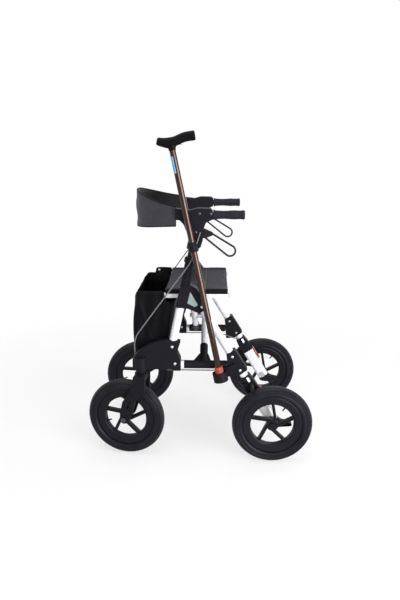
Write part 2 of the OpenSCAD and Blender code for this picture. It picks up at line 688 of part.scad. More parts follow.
// Open bag between the front legs
bag_y = frame_y - block_t / 2 - running;
bag_skin = 3;
bag_foot_z = barrel_top_z + 3;
bag_outline = concat(from(seat_z, [[84, -30], [128, -24], [129, 14], [203, 14], [229, -6], [236, -22]]),
  from(bag_foot_z, [[246, 42], [241, 10], [228, 0], [112, 0]]));
bag_inside = concat(from(seat_z, [[92, -34], [132, -27], [132, 40], [226, 40], [226, -8], [232, -23]]),
  from(bag_foot_z, [[242, 42], [237, 12], [226, 4], [116, 4]]));
bag_notch = from(seat_z, [[60, -60], [60, 80], [128, 80], [128, -23]]);
module front_bag() {
  color(black) difference() {
    plate(soft(bag_outline, 5), 2 * bag_y);
    plate(soft(bag_inside, 4), 2 * bag_y - 2 * bag_skin);
    for (k = [-1, 1]) plate(bag_notch, 2 * (bag_y - seat_y + bar_w), k * bag_y);
  }
}

// Back band: a bowed strip between the two handle heads, taller in the middle
back_apex_x = 242;
back_half = frame_y;
back_rise = 46;
back_fall = 23;
back_top_z = grip_z + 73;
back_low_z = grip_z - 63;
function bow(half, rise) = (half * half + rise * rise) / (2 * rise);
module back_band() {
  r = bow(back_half, back_apex_x - back_end_x);
  top_r = bow(back_half, back_rise);
  low_r = bow(back_half, back_fall);
  foot_z = back_low_z - back_fall;
  tall = back_top_z - back_low_z + 2 * back_fall;
  color(cloth) intersection() {
    difference() {
      translate([back_apex_x - r, 0, foot_z]) cylinder(r = r, h = tall, $fn = 128);
      translate([back_apex_x - r, 0, foot_z - 1]) cylinder(r = r - back_t, h = tall + 2, $fn = 128);
      translate([back_end_x - 2 * r, -r - 1, foot_z - 1]) cube([2 * r, 2 * r + 2, tall + 2]);
    }
    translate([0, 0, back_top_z - top_r]) rotate([0, 90, 0])
      cylinder(r = top_r, h = 2 * back_apex_x, $fn = 128);
    translate([0, 0, back_low_z + low_r]) rotate([0, 90, 0])
      cylinder(r = low_r, h = 2 * back_apex_x, $fn = 128);
  }
}

// Cane in its holder: it stands in a cup on the rear block and in a clip on the left post
cane_foot = [-86, wheel_d + 18];
cane_y = 45;
ferrule_l = 56;
cup_floor = 4;
collar_at = 368;
stop_count = 7;
stop_pitch = 25;
stop_d = 5;
cane_l = 852;
ferrule_floor = 20;
module on_cane() {
  translate([cane_foot[0], frame_y + cane_y, cane_foot[1]]) rotate([0, cane_lean, 0]) children();
}
module cane_shaft() {
  color(copper) on_cane() {
    difference() {
      union() {
        translate([0, 0, ferrule_floor]) cylinder(d = cane_d, h = cane_l - ferrule_floor);
        translate([0, 0, collar_at]) cylinder(d = cane_d + 4, h = 14);
      }
      for (i = [0:stop_count - 1]) translate([0, cane_d, collar_at - 40 - stop_pitch * i]) rotate([90, 0, 0])
        cylinder(d = stop_d, h = cane_d, $fn = 24);
    }
  }
}
module cane_ferrule() {
  color(red) on_cane() difference() {
    rotate_extrude()
      polygon([[0, cup_floor], [17, cup_floor], [18, 8], [16, 20], [15, ferrule_l - 6], [14, ferrule_l],
        [0, ferrule_l]]);
    translate([0, 0, ferrule_floor - seating]) cylinder(d = cane_d + 2 * seating, h = ferrule_l);
  }
}
// Derby handle: a curved bar with a nose in front. Each point of its route holds X, Y and Z from the shaft's
// end, and half its height and half its width there.
derby = [[37, 0, 24, 11, 9], [22, 0, 16, 13.5, 11], [4, 0, 9, 15.5, 13], [-18, 0, 14, 14, 12],
  [-48, 0, 20, 15, 11], [-84, 0, 17.5, 15, 12]];
neck_l = 12;
module cane_handle() {
  route = curve(derby, 5);
  color(black) on_cane() translate([0, 0, cane_l]) difference() {
    union() {
      sweep([for (p = route) [p[0], p[1], p[2]]], [for (p = route) p[4]], [for (p = route) p[3]], 16);
      translate([0, 0, -neck_l]) cylinder(d1 = cane_d + 3, d2 = cane_d + 5, h = neck_l + 4);
    }
    translate([0, 0, -2 * neck_l]) cylinder(d = cane_d + 2 * seating, h = 2 * neck_l + running);
  }
}
cup_d = 54;
cup_bore = 40;
cup_h = 34;
clip_h = 26;
clip_low_z = post_top_z - 20;
clip_high_z = post_top_z + 55;
clip_at = (clip_high_z - clip_h - 2 - cane_foot[1]) / cos(cane_lean);
function cane_x(z) = cane_foot[0] + tan(cane_lean) * (z - cane_foot[1]);
strap_h = 16;
lug_t = 8;
lug_outline = from(rail_z, [[cane_foot[0] - 2, -34], [cane_foot[0] - 6, -12], [block_x + 11, 14],
  [block_x + 5, -12], [block_x + 32, -38]]);
clip_rib = [[cane_x(clip_low_z) - 6, clip_low_z], [cane_x(clip_low_z) + 8, clip_low_z],
  [cane_x(clip_high_z) + 9, clip_high_z], [cane_x(clip_high_z) - 9, clip_high_z]];
strap_reach = post(clip_low_z)[0] - cane_x(clip_low_z);
module cane_holder() {
  color(black) {
    difference() {
      union() {
        on_cane() cylinder(d = cup_d, h = cup_h);
        side(1) plate(soft(lug_outline, 5), lug_t, block_t / 2 + seating + lug_t / 2);
      }
      on_cane() translate([0, 0, cup_floor - running]) cylinder(d = cup_bore, h = cup_h);
    }
    difference() {
      union() {
        on_cane() translate([0, 0, clip_at]) cylinder(d = cane_d + 9, h = clip_h);
        side(1) stand(post(clip_low_z), post(post_top_z)) {
          cylinder(d = sleeve_d + 8, h = strap_h);
          translate([3 - strap_reach, 0, 0]) cube([strap_reach - 15, cane_y - cane_d / 2 - 1, strap_h]);
        }
        side(1) plate(clip_rib, 3.5, cane_y - cane_d / 2 - 2.2);
      }
      on_cane() cylinder(d = cane_d + 2 * running, h = cane_l);
      on_cane() translate([-cane_d * 0.42, 0, 0]) cube([cane_d * 0.84, cane_d * 2, cane_l]);
      side(1) stand(post(hub_z), post(post_top_z)) cylinder(d = sleeve_d + 2 * seating, h = grip_over);
    }
  }
}

front_leg(1);  // left_front_leg
front_leg(-1);  // right_front_leg
hub(1);  // left_hub
hub(-1);  // right_hub
rear_leg(1);  // left_rear_leg
rear_leg(-1);  // right_rear_leg
rear_block(1);  // left_rear_block
rear_block(-1);  // right_rear_block
brake_housing(1);  // left_brake_housing
brake_housing(-1);  // right_brake_housing
lower_leg(1);  // left_lower_leg
lower_leg(-1);  // right_lower_leg
reflector(1);  // left_reflector
reflector(-1);  // right_reflector
kerb_pedal(1);  // left_kerb_pedal
kerb_pedal(-1);  // right_kerb_pedal
lower_rail(1);  // left_lower_rail
lower_rail(-1);  // right_lower_rail
front_arm(1);  // left_front_arm
front_arm(-1);  // right_front_arm
fasteners(1);  // left_fasteners
fasteners(-1);  // right_fasteners
handle_tube(1);  // left_handle_tube
handle_tube(-1);  // right_handle_tube
handle_head(1);  // left_handle_head
handle_head(-1);  // right_handle_head
grip(1);  // left_grip
grip(-1);  // right_grip
brake_lever(1);  // left_brake_lever
brake_lever(-1);  // right_brake_lever
brake_shoe(1);  // left_brake_shoe
brake_shoe(-1);  // right_brake_shoe
brake_cable(1);  // left_brake_cable
brake_cable(-1);  // right_brake_cable
caster_fork(1);  // left_caster_fork
caster_fork(-1);  // right_caster_fork
front_axle(1);  // left_front_axle
front_axle(-1);  // right_front_axle
front_rim(1);  // left_front_rim
front_rim(-1);  // right_front_rim
front_tyre(1);  // left_front_tyre
front_tyre(-1);  // right_front_tyre
rear_rim(1);  // left_rear_rim
rear_rim(-1);  // right_rear_rim
rear_tyre(1);  // left_rear_tyre
rear_tyre(-1);  // right_rear_tyre
cross_tube(1);  // cross_tube_a
cross_tube(-1);  // cross_tube_b
cross_tee(1);  // cross_tee_a
cross_tee(-1);  // cross_tee_b
centre_pivot();
seat_rail(-1);  // left_seat_rail
seat_rail(1);  // right_seat_rail
seat_sling();
front_bag();
back_band();
cane_shaft();
cane_handle();
cane_ferrule();
cane_holder();
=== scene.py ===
"""All terrain rollator: finishes, soft goods, tyres, cables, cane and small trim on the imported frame.

Metres, +X forward, +Z up."""
import math

import bmesh
import bpy
import numpy as np
from mathutils import Matrix


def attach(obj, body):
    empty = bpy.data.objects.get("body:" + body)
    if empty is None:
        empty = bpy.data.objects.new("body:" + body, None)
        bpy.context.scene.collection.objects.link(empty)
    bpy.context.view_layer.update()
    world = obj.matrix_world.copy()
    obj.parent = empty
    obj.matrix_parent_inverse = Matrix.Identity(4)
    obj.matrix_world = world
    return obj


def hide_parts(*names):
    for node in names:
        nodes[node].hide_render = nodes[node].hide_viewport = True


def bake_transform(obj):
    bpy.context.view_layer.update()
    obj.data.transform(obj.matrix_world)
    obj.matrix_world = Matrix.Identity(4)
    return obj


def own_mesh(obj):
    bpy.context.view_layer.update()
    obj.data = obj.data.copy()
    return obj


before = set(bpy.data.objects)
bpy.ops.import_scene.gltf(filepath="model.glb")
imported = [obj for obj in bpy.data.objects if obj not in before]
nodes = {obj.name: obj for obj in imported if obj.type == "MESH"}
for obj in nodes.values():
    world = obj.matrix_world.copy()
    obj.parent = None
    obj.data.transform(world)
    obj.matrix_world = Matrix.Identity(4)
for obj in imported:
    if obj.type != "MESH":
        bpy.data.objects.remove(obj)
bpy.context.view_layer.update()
SIDES = {"left": 1, "right": -1}

# Sizes shared with the solids, in metres
WHEEL_R = 0.150
TYRE_W = 0.046
RIM_R = 0.1128
WHEEL_BASE = 0.554
REAR_TRACK = 0.550
CASTER_TRAIL = 0.062
CASTER_X = WHEEL_BASE / 2 - CASTER_TRAIL
CASTER_Y = 0.008
CASTER_TURN = math.radians(10)
FRAME_Y = 0.225
CABLE_R = 0.0022
SEAT_Y = 0.185
SEAT_Z = 0.620
SEAT_FRONT = 0.126
SEAT_LENGTH = 0.237
BAR_W = 0.022
BAR_H = 0.015
CANE_FOOT = np.array([-0.086, 0.270, 0.318])
CANE_LEAN = math.radians(11.7)
CANE_R = 0.011

# Camera at the photograph's angle
CAMERA_AT = (-0.0606, 2.2978, 1.1654)
CAMERA_PITCH = math.radians(14.929)
CAMERA_YAW = math.radians(-1.498)
FOCAL_PIXELS = 591.11
PICTURE_HEIGHT = 600
SENSOR = 36.0


def stand(thing, at, axes):
    """Puts a camera or a lamp into the scene, at a place and turned to the given axes."""
    bpy.context.scene.collection.objects.link(thing)
    thing.matrix_world = Matrix.Translation(at) @ Matrix(np.column_stack(axes).tolist()).to_4x4()


def make_camera():
    """A camera that looks along -Y, down by the pitch and aside by the yaw."""
    ahead = np.array([-math.sin(CAMERA_YAW) * math.cos(CAMERA_PITCH),
                      -math.cos(CAMERA_YAW) * math.cos(CAMERA_PITCH), -math.sin(CAMERA_PITCH)])
    right = np.array([-math.cos(CAMERA_YAW), math.sin(CAMERA_YAW), 0.0])
    data = bpy.data.cameras.new("camera")
    data.sensor_width = SENSOR
    data.lens = SENSOR * FOCAL_PIXELS / PICTURE_HEIGHT
    camera = bpy.data.objects.new("camera", data)
    stand(camera, CAMERA_AT, (right, np.cross(right, ahead), -ahead))
    bpy.context.scene.camera = camera


# Shader maths


class Shade:
    """A value in a finish. Arithmetic on it places Math nodes."""

    def __init__(self, finish, socket):
        self.finish = finish
        self.socket = socket

    def __add__(self, other):
        return self.finish.math("ADD", self, other)

    __radd__ = __add__

    def __sub__(self, other):
        return self.finish.math("SUBTRACT", self, other)

    def __rsub__(self, other):
        return self.finish.math("SUBTRACT", other, self)

    def __mul__(self, other):
        return self.finish.math("MULTIPLY", self, other)

    __rmul__ = __mul__


class Finish:
    """One material, or the world: place() is the only way that nodes get into it."""

    def __init__(self, name, owner=None):
        self.material = owner or bpy.data.materials.new(name)
        self.material.use_nodes = True
        self.tree = self.material.node_tree
        self.tree.nodes.clear()

    def place(self, kind, settings=None, sockets=None, out=0):
        """Places a node: its settings first, then the values or links of its sockets. Gives one output."""
        node = self.tree.nodes.new(kind)
        for key, value in (settings or {}).items():
            setattr(node, key, value)
        for key, value in (sockets or {}).items():
            if isinstance(value, Shade):
                self.tree.links.new(value.socket, node.inputs[key])
            elif value is not None:
                node.inputs[key].default_value = value
        return Shade(self, node.outputs[out]) if node.outputs else None

    def math(self, operation, a, b=0.0):
        """The result of one Math node."""
        return self.place("ShaderNodeMath", {"operation": operation}, {0: a, 1: b})

    def spot(self, turn=(0, 0, 0), stretch=(1, 1, 1)):
        """Object coordinates, turned and stretched."""
        at = self.place("ShaderNodeTexCoord", out=3)
        return self.place("ShaderNodeMapping", None, {"Vector": at, "Rotation": turn, "Scale": stretch})

    def chart(self, stretch=(1, 1, 1)):
        """The piece's own UV map, in metres, stretched."""
        at = self.place("ShaderNodeTexCoord", out=2)
        return self.place("ShaderNodeMapping", None, {"Vector": at, "Scale": stretch})

    def axis(self, vector, which):
        """One part of a vector: 0 for X, 1 for Y, 2 for Z."""
        return self.place("ShaderNodeSeparateXYZ", None, {0: vector}, out=which)

    def noise(self, vector, scale, detail=2.0, rough=0.5):
        """Soft noise from 0 to 1."""
        return self.place("ShaderNodeTexNoise", None,
                          {"Vector": vector, "Scale": scale, "Detail": detail, "Roughness": rough})

    def cells(self, vector, scale):
        """Distance to the nearest of many scattered points."""
        return self.place("ShaderNodeTexVoronoi", None, {"Vector": vector, "Scale": scale})

    def band(self, value, low, high):
        """0 below low, 1 above high, smooth between."""
        return self.place("ShaderNodeMapRange", {"interpolation_type": "SMOOTHSTEP"},
                          {0: value, 1: low, 2: high, 3: 0.0, 4: 1.0})

    def wave(self, value, pitch):
        """A smooth wave from 0 to 1 with the given pitch."""
        return self.math("SINE", value * (2 * math.pi / pitch)) * 0.5 + 0.5

    def blend(self, amount, first, second):
        """A colour between two colours."""
        return self.place("ShaderNodeMix", {"data_type": "RGBA"}, {0: amount, 6: first, 7: second}, out=2)

    def relief(self, height, depth, normal=None):
        """A normal bumped by a height from 0 to 1 that stands depth metres tall."""
        sockets = {"Height": height, "Distance": depth, "Strength": 1.0, "Normal": normal}
        return self.place("ShaderNodeBump", None, sockets)

    def shown(self):
        """1 for rays from the camera, off shiny surfaces and through clear ones, else 0."""
        camera, glossy, clear = (self.place("ShaderNodeLightPath", out=f"Is {kind} Ray")
                                 for kind in ("Camera", "Glossy", "Transmission"))
        return self.math("MAXIMUM", self.math("MAXIMUM", camera, glossy), clear)

    def worn_edges(self, radius):
        """The normal rounded over edges, and a mask that is 1 where it leaves the true normal."""
        rounded = self.place("ShaderNodeBevel", {"samples": 4}, {"Radius": radius})
        true = self.place("ShaderNodeNewGeometry", out=1)
        same = self.place("ShaderNodeVectorMath", {"operation": "DOT_PRODUCT"}, {0: rounded, 1: true}, out=1)
        return rounded, self.band(1 - same, 0.02, 0.3)

    def surface(self, colour, roughness, normal=None, metallic=0.0, **constants):
        """Ends the finish in one shader."""
        sockets = {"Base Color": colour, "Roughness": roughness, "Metallic": metallic, "Normal": normal}
        sockets.update({key.replace("_", " ").title().replace("Ior", "IOR"): value
                        for key, value in constants.items()})
        shader = self.place("ShaderNodeBsdfPrincipled", None, sockets)
        self.place("ShaderNodeOutputMaterial", None, {"Surface": shader})
        return self.material


def colour(red, green, blue):
    """A colour from picture values of 0 to 255, as light."""
    value = np.array([red, green, blue]) / 255.0
    light = np.where(value <= 0.04045, value / 12.92, ((value + 0.055) / 1.055) ** 2.4)
    return (*light.tolist(), 1.0)


# Finishes


def painted_tube():
    """Satin silver paint: fine metal flake, a little orange peel, faint rubbed patches."""
    f = Finish("silver_paint")
    at = f.spot()
    flake = f.noise(at, 2600.0, 1.0)
    rubbed = f.noise(at, 9.0, 4.0, 0.6)
    tone = f.blend(f.band(rubbed, 0.3, 0.75), colour(222, 222, 226), colour(208, 208, 214))
    peel = f.noise(at, 420.0, 2.0)
    rough = 0.34 + 0.1 * rubbed + 0.06 * flake
    return f.surface(tone, rough, f.relief(peel, 0.00006), 0.22, coat_weight=0.15, coat_roughness=0.2)


def moulded_nylon(name, shade, gloss, edge):
    """Glass filled nylon: spark eroded grain, cloudy tone, edges rubbed smoother and paler."""
    f = Finish(name)
    at = f.spot()
    grain = f.noise(at, 1500.0, 3.0, 0.6)
    cloud = f.noise(at, 14.0, 3.0)
    rounded, edges = f.worn_edges(edge)
    scuffs = f.band(f.noise(f.spot(stretch=(1, 1, 6)), 60.0, 5.0, 0.7), 0.62, 0.75)
    pale = tuple(min(1.0, 2.1 * c + 0.012) for c in shade[:3]) + (1.0,)
    lifted = tuple(1.35 * c for c in shade[:3]) + (1.0,)
    tone = f.blend(edges * (0.35 + 0.4 * cloud), f.blend(cloud, shade, lifted), pale)
    rough = gloss + 0.12 * cloud - 0.1 * edges + 0.08 * scuffs
    return f.surface(tone, rough, f.relief(grain, 0.00012, rounded), specular_ior_level=0.1)


def tyre_rubber():
    """Slate rubber: matte and cloudy, with dust in the grooves of the tread."""
    f = Finish("tyre_rubber")
    at = f.spot()
    depth = f.place("ShaderNodeAttribute", {"attribute_name": "groove"}, out=2)
    cloud = f.noise(at, 18.0, 4.0, 0.6)
    fine = f.noise(at, 900.0, 2.0)
    tone = f.blend(f.band(cloud, 0.3, 0.7), colour(13, 13, 19), colour(21, 21, 29))
    dusty = f.blend(depth * (0.25 + 0.35 * cloud), tone, colour(70, 69, 76))
    rough = 0.36 + 0.12 * cloud + 0.14 * depth
    return f.surface(dusty, rough, f.relief(fine, 0.00006), specular_ior_level=0.14)


def grip_rubber():
    """Soft rubber: close rings along the grip and a fine stipple."""
    f = Finish("grip_rubber")
    at = f.spot()
    ring = f.wave(f.axis(at, 0), 0.0046)
    stipple = f.noise(at, 1100.0, 2.0)
    cloud = f.noise(at, 25.0, 3.0)
    tone = f.blend(cloud, colour(24, 23, 28), colour(37, 36, 42))
    height = 0.75 * f.band(ring, 0.25, 0.7) + 0.25 * stipple
    return f.surface(tone, 0.5 + 0.15 * cloud, f.relief(height, 0.0005), specular_ior_level=0.08)


def coated_wire():
    """Black dipped steel wire: smooth coat with slight runs."""
    f = Finish("wire_coat")
    at = f.spot()
    runs = f.noise(at, 130.0, 3.0)
    tone = f.blend(runs, colour(14, 14, 17), colour(27, 26, 30))
    return f.surface(tone, 0.28 + 0.14 * runs, f.relief(runs, 0.0001), specular_ior_level=0.16)


def cable_sleeve():
    """Grey sleeve over a wound liner: a fine spiral shows through."""
    f = Finish("cable_sleeve")
    at = f.chart()
    spiral = f.wave(f.axis(at, 1) + f.axis(at, 0) * 0.2, 0.0022)
    cloud = f.noise(f.spot(), 30.0, 3.0)
    tone = f.blend(cloud, colour(82, 82, 88), colour(106, 106, 112))
    return f.surface(tone, 0.38 + 0.12 * cloud, f.relief(spiral, 0.00012))


def plated_steel(name, bright, dull, black_from=1.0):
    """Plated steel: a light cloudy film and fine turning marks, blackened past a distance
    from the middle plane."""
    f = Finish(name)
    at = f.spot()
    film = f.noise(at, 160.0, 4.0, 0.6)
    marks = f.noise(f.spot(stretch=(1, 18, 1)), 300.0, 3.0)
    rounded, edges = f.worn_edges(0.0008)
    outside = f.band(f.math("ABSOLUTE", f.axis(at, 1)), black_from, black_from + 0.004)
    tone = f.blend(outside, f.blend(film, bright, dull), colour(34, 33, 38))
    return f.surface(tone, 0.24 + 0.22 * film - 0.08 * edges, f.relief(marks, 0.00004, rounded), 0.9)


def woven(name, dark, pale, pitch, depth, rough, **constants):
    """Plain weave on the piece's chart: warp and weft rise in turn, with slubs and rubbed patches.
    Where the piece's mark for its inside face is 1, painted shade darkens it almost to black."""
    f = Finish(name)
    at = f.chart()
    across, along = f.axis(at, 0), f.axis(at, 1)
    warp, weft = f.wave(across, pitch), f.wave(along, pitch)
    over = f.wave(across + along, 2 * pitch) * f.wave(across - along, 2 * pitch)
    height = 0.5 * warp * over + 0.5 * weft * (1 - over)
    slub = f.noise(f.chart((1, 9, 1)), 160.0, 3.0)
    rubbed = f.noise(f.spot(), 11.0, 4.0, 0.6)
    tone = f.blend(0.45 * slub + 0.25 * height + 0.3 * f.band(rubbed, 0.35, 0.7), dark, pale)
    # Painted shade: the inside face of the band is blended towards near black.
    inner_shade = f.place("ShaderNodeAttribute", {"attribute_name": "inner_shade"}, out=2)
    tone = f.blend(0.93 * inner_shade, tone, colour(6, 6, 8))
    return f.surface(tone, rough + 0.12 * rubbed, f.relief(height + 0.5 * slub, depth), **constants)


def red_reflector():
    """Red reflector: small prisms under a clear skin."""
    f = Finish("reflector_prisms")
    prisms = f.cells(f.spot(), 420.0)
    tone = f.blend(f.band(prisms, 0.1, 0.7), colour(178, 14, 44), colour(124, 6, 28))
    return f.surface(tone, 0.2 + 0.1 * prisms, f.relief(prisms, 0.0004), coat_weight=0.8, coat_roughness=0.05)


def anodised_cane():
    """Copper brown anodised tube: drawn lines along the tube, cloudy depth of colour."""
    f = Finish("cane_anodising")
    drawn = f.noise(f.spot(turn=(0, -CANE_LEAN, 0), stretch=(1, 1, 0.02)), 900.0, 3.0)
    cloud = f.noise(f.spot(), 20.0, 3.0)
    tone = f.blend(0.5 * drawn + 0.5 * cloud, colour(44, 25, 17), colour(60, 38, 27))
    lines = f.relief(drawn, 0.00003)
    return f.surface(tone, 0.1 + 0.08 * drawn, lines, 0.9, coat_weight=0.4, coat_roughness=0.05)


def polished_black():
    """Polished black handle: fine hairlines and finger haze."""
    f = Finish("polished_black")
    haze = f.noise(f.spot(), 45.0, 4.0)
    hair = f.noise(f.spot(stretch=(0.05, 1, 1)), 1400.0, 2.0)
    tone = f.blend(haze, colour(6, 6, 8), colour(13, 13, 15))
    return f.surface(tone, 0.3 + 0.16 * haze, f.relief(hair, 0.00003), specular_ior_level=0.06)


def ferrule_rubber():
    """Red rubber foot: chalky bloom, darker towards the bottom."""
    f = Finish("ferrule_rubber")
    bloom = f.noise(f.spot(), 70.0, 4.0, 0.65)
    low = 1 - f.band(f.axis(f.spot(), 2), 0.322, 0.352)
    tone = f.blend(f.band(bloom, 0.35, 0.7), colour(142, 46, 36), colour(170, 72, 60))
    tone = f.blend(0.5 * low, tone, colour(92, 26, 20))
    return f.surface(tone, 0.55 + 0.15 * bloom, f.relief(bloom, 0.0002))


def plain_sheet(name, first, second, rough):
    """A plain plate, cap or thread: slight mottling and a fine grain."""
    f = Finish(name)
    mottle = f.noise(f.spot(), 90.0, 4.0)
    grain = f.noise(f.spot(), 1300.0, 2.0)
    return f.surface(f.blend(mottle, first, second), rough + 0.1 * mottle, f.relief(grain, 0.00006))


SILVER = painted_tube()
NYLON = moulded_nylon("black_nylon", colour(16, 15, 20), 0.44, 0.0016)
BLACK_TUBE = moulded_nylon("black_tube", colour(19, 18, 21), 0.3, 0.0008)
RIM = moulded_nylon("rim_nylon", colour(19, 18, 24), 0.34, 0.0014)
RUBBER = tyre_rubber()
GRIP = grip_rubber()
WIRE = coated_wire()
SLEEVE = cable_sleeve()
ZINC = plated_steel("zinc_plate", colour(206, 208, 212), colour(178, 181, 187))
AXLE_STEEL = plated_steel("axle_steel", colour(206, 208, 212), colour(178, 181, 187), 0.255)
DARK_STEEL = plated_steel("dark_steel", colour(84, 84, 90), colour(62, 62, 68))
SEAT_CLOTH = woven("seat_cloth", colour(24, 23, 31), colour(38, 37, 48), 0.0016, 0.00022, 0.38,
                   specular_ior_level=0.04)
BAG_CLOTH = woven("bag_cloth", colour(5, 5, 7), colour(13, 13, 16), 0.0010, 0.00016, 0.46,
                  specular_ior_level=0.07)
BAND_CLOTH = woven("band_cloth", colour(54, 54, 60), colour(72, 72, 78), 0.0014, 0.0001, 0.45,
                   sheen_weight=0.03, sheen_roughness=0.4, specular_ior_level=0.06)
TAPE = woven("edge_tape", colour(8, 8, 10), colour(17, 17, 20), 0.0009, 0.0002, 0.5, specular_ior_level=0.08)
REFLECTOR = red_reflector()
CANE = anodised_cane()
POLISHED = polished_black()
FERRULE = ferrule_rubber()
INLAY = plain_sheet("inlay_plate", colour(118, 144, 138), colour(134, 158, 152), 0.32)
PALE_BAND = plain_sheet("pale_band", colour(88, 146, 192), colour(112, 168, 204), 0.35)
END_CAP = plain_sheet("end_cap", colour(150, 150, 154), colour(172, 172, 176), 0.4)
THREAD = plain_sheet("thread", colour(92, 91, 100), colour(118, 117, 126), 0.6)
DARK_THREAD = plain_sheet("dark_thread", colour(32, 32, 36), colour(48, 48, 53), 0.6)

# Finishes of the solids: the first word that a node's name holds decides, and the rest are nylon
FINISH_OF = {"front_leg": SILVER, "rear_leg": SILVER, "lower_leg": SILVER, "lower_rail": SILVER,
             "cross_tube": SILVER, "seat_rail": SILVER, "handle_tube": BLACK_TUBE, "tyre": RUBBER, "rim": RIM,
             "grip": GRIP, "brake_lever": WIRE, "brake_cable": SLEEVE, "front_axle": DARK_STEEL,
             "fasteners": AXLE_STEEL, "centre_pivot": AXLE_STEEL, "seat_sling": SEAT_CLOTH,
             "front_bag": BAG_CLOTH, "back_band": BAND_CLOTH, "reflector": REFLECTOR, "cane_shaft": CANE,
             "cane_handle": POLISHED, "cane_ferrule": FERRULE}


def dress_solids():
    """Gives every solid its finish."""
    for name, node in nodes.items():
        finish = next((finish for word, finish in FINISH_OF.items() if word in name), NYLON)
        node.data.materials.clear()
        node.data.materials.append(finish)


# Surfaces


def lengths(grid, axis):
    """Mean distance covered from the first row (or column) of a grid to each later one."""
    step = np.linalg.norm(np.diff(grid, axis=axis), axis=2).mean(axis=1 - axis)
    return np.concatenate([[0.0], np.cumsum(step)])


def surface(name, grid, finish, wrap=(False, False), caps=(False, False), sharp=50):
    """A mesh over a grid of points, or over a stack of equal grids: a quad between each four neighbours.
    Wrap joins the last row (or column) to the first, caps close the first and the last row. The chart
    holds the distances."""
    stack = grid if grid.ndim == 4 else grid[None]
    count, rows, columns = stack.shape[:3]
    index = np.arange(rows * columns).reshape(rows, columns)
    full = stack[0]
    if wrap[0]:
        index = np.vstack([index, index[:1]])
        full = np.concatenate([full, full[:1]], axis=0)
    if wrap[1]:
        index = np.hstack([index, index[:, :1]])
        full = np.concatenate([full, full[:, :1]], axis=1)
    corners = [(slice(None, -1), slice(None, -1)), (slice(1, None), slice(None, -1)),
               (slice(1, None), slice(1, None)), (slice(None, -1), slice(1, None))]
    shift = rows * columns * np.arange(count)[:, None]
    quads = np.stack([index[c] for c in corners], -1).reshape(1, -1, 4)
    faces = (quads + shift[:, :, None]).reshape(-1, 4).tolist()
    down, side = np.meshgrid(lengths(full, 0), lengths(full, 1), indexing="ij")
    chart = np.stack([side, down], -1)
    loops = np.tile(np.stack([chart[c] for c in corners], 2).reshape(-1, 2), (count, 1))
    rim = np.stack([side[0, :columns], np.zeros(columns)], -1)
    for used, ring in zip(caps, (index[0, :columns][::-1], index[rows - 1, :columns])):
        if used:
            faces += (ring[None] + shift).tolist()
            loops = np.concatenate([loops, np.tile(rim, (count, 1))])
    mesh = bpy.data.meshes.new(name)
    mesh.from_pydata(stack.reshape(-1, 3).tolist(), [], faces)
    mesh.uv_layers.new(name="chart").data.foreach_set("uv", loops.astype(np.float32).ravel())
    return finish_mesh(name, mesh, finish, all(caps) or all(wrap), sharp)


def capped(name, grid, finish, sharp=50):
    """A closed mesh over rings of points, its first and last ring filled."""
    return surface(name, grid, finish, (False, True), (True, True), sharp)


def carry(piece, body):
    """Lets a piece ride on a body."""
    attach(piece, body)


def mark_points(piece, name, values):
    """Keeps one value per point on a piece, for its finish to read."""
    mark = piece.data.attributes.new(name, "FLOAT", "POINT")
    mark.data.foreach_set("value", values.astype(np.float32).ravel())


def finish_mesh(name, mesh, finish, closed, sharp):
    """Turns a closed mesh's faces outwards, shades it smooth up to the sharp angle and makes its object."""
    if closed:
        shell = bmesh.new()
        shell.from_mesh(mesh)
        bmesh.ops.recalc_face_normals(shell, faces=shell.faces)
        shell.to_mesh(mesh)
        shell.free()
    mesh.shade_smooth()
    mesh.set_sharp_from_angle(angle=math.radians(sharp))
    mesh.materials.append(finish)
    piece = bpy.data.objects.new(name, mesh)
    bpy.context.scene.collection.objects.link(piece)
    return piece


def smooth_path(points, steps):
    """A curve through the points: each stretch is the cubic of its two ends and their outer neighbours."""
    p = np.asarray(points, float)
    q = np.concatenate([p[:1], p, p[-1:]])[:, None, :]
    a, b, c, d = q[:-3], q[1:-2], q[2:-1], q[3:]
    t = (np.arange(steps) / steps)[None, :, None]
    curve = 0.5 * (2 * b + (c - a) * t + (2 * a - 5 * b + 4 * c - d) * t ** 2
                   + (3 * b - a - 3 * c + d) * t ** 3)
    return np.concatenate([curve.reshape(-1, p.shape[1]), p[-1:]])


def circle(count):
    """Angles spread evenly round a full turn."""
    return np.linspace(0, 2 * math.pi, count, endpoint=False)


def unit(v):
    """Vectors scaled to a length of 1."""
    return v / np.linalg.norm(v, axis=-1, keepdims=True)


def tube_grid(path, wide, tall, sides, across=(0.0, 1.0, 0.0), closed=False):
    """Rings carried along a path: wide is the half size along the across direction, tall the half size
    square to it."""
    step = np.roll(path, -1, 0) - np.roll(path, 1, 0) if closed else np.gradient(path, axis=0)
    ahead = unit(step)
    up = unit(np.cross(ahead, across))
    out = np.cross(ahead, up)
    angle = circle(sides)[None, :, None]
    wide, tall = (np.broadcast_to(x, len(path))[:, None, None] for x in (wide, tall))
    return path[:, None, :] + tall * np.cos(angle) * up[:, None, :] + wide * np.sin(angle) * out[:, None, :]


def revolve_grid(profile, base, direction, sides):
    """A profile of (radius, height) pairs turned about a line from base along direction."""
    ahead = unit(np.asarray(direction, float))
    first = unit(np.cross(ahead, [0.3, 0.9, 0.1]))
    second = np.cross(ahead, first)
    angle = circle(sides)[None, :, None]
    radius, height = (np.asarray(profile)[:, k][:, None, None] for k in (0, 1))
    return np.asarray(base) + height * ahead + radius * (np.cos(angle) * first + np.sin(angle) * second)


def ease(value, low, high):
    """0 below low, 1 above high, smooth between."""
    t = np.clip((value - low) / (high - low), 0, 1)
    return t * t * (3 - 2 * t)


def bump(value, centre, width):
    """A bell curve: 1 at the centre, falling off over the width."""
    return np.exp(-((value - centre) / width) ** 2)


def squared(value, power):
    """A wave from -1 to 1, squared off by the power."""
    return np.sign(value) * np.abs(value) ** power


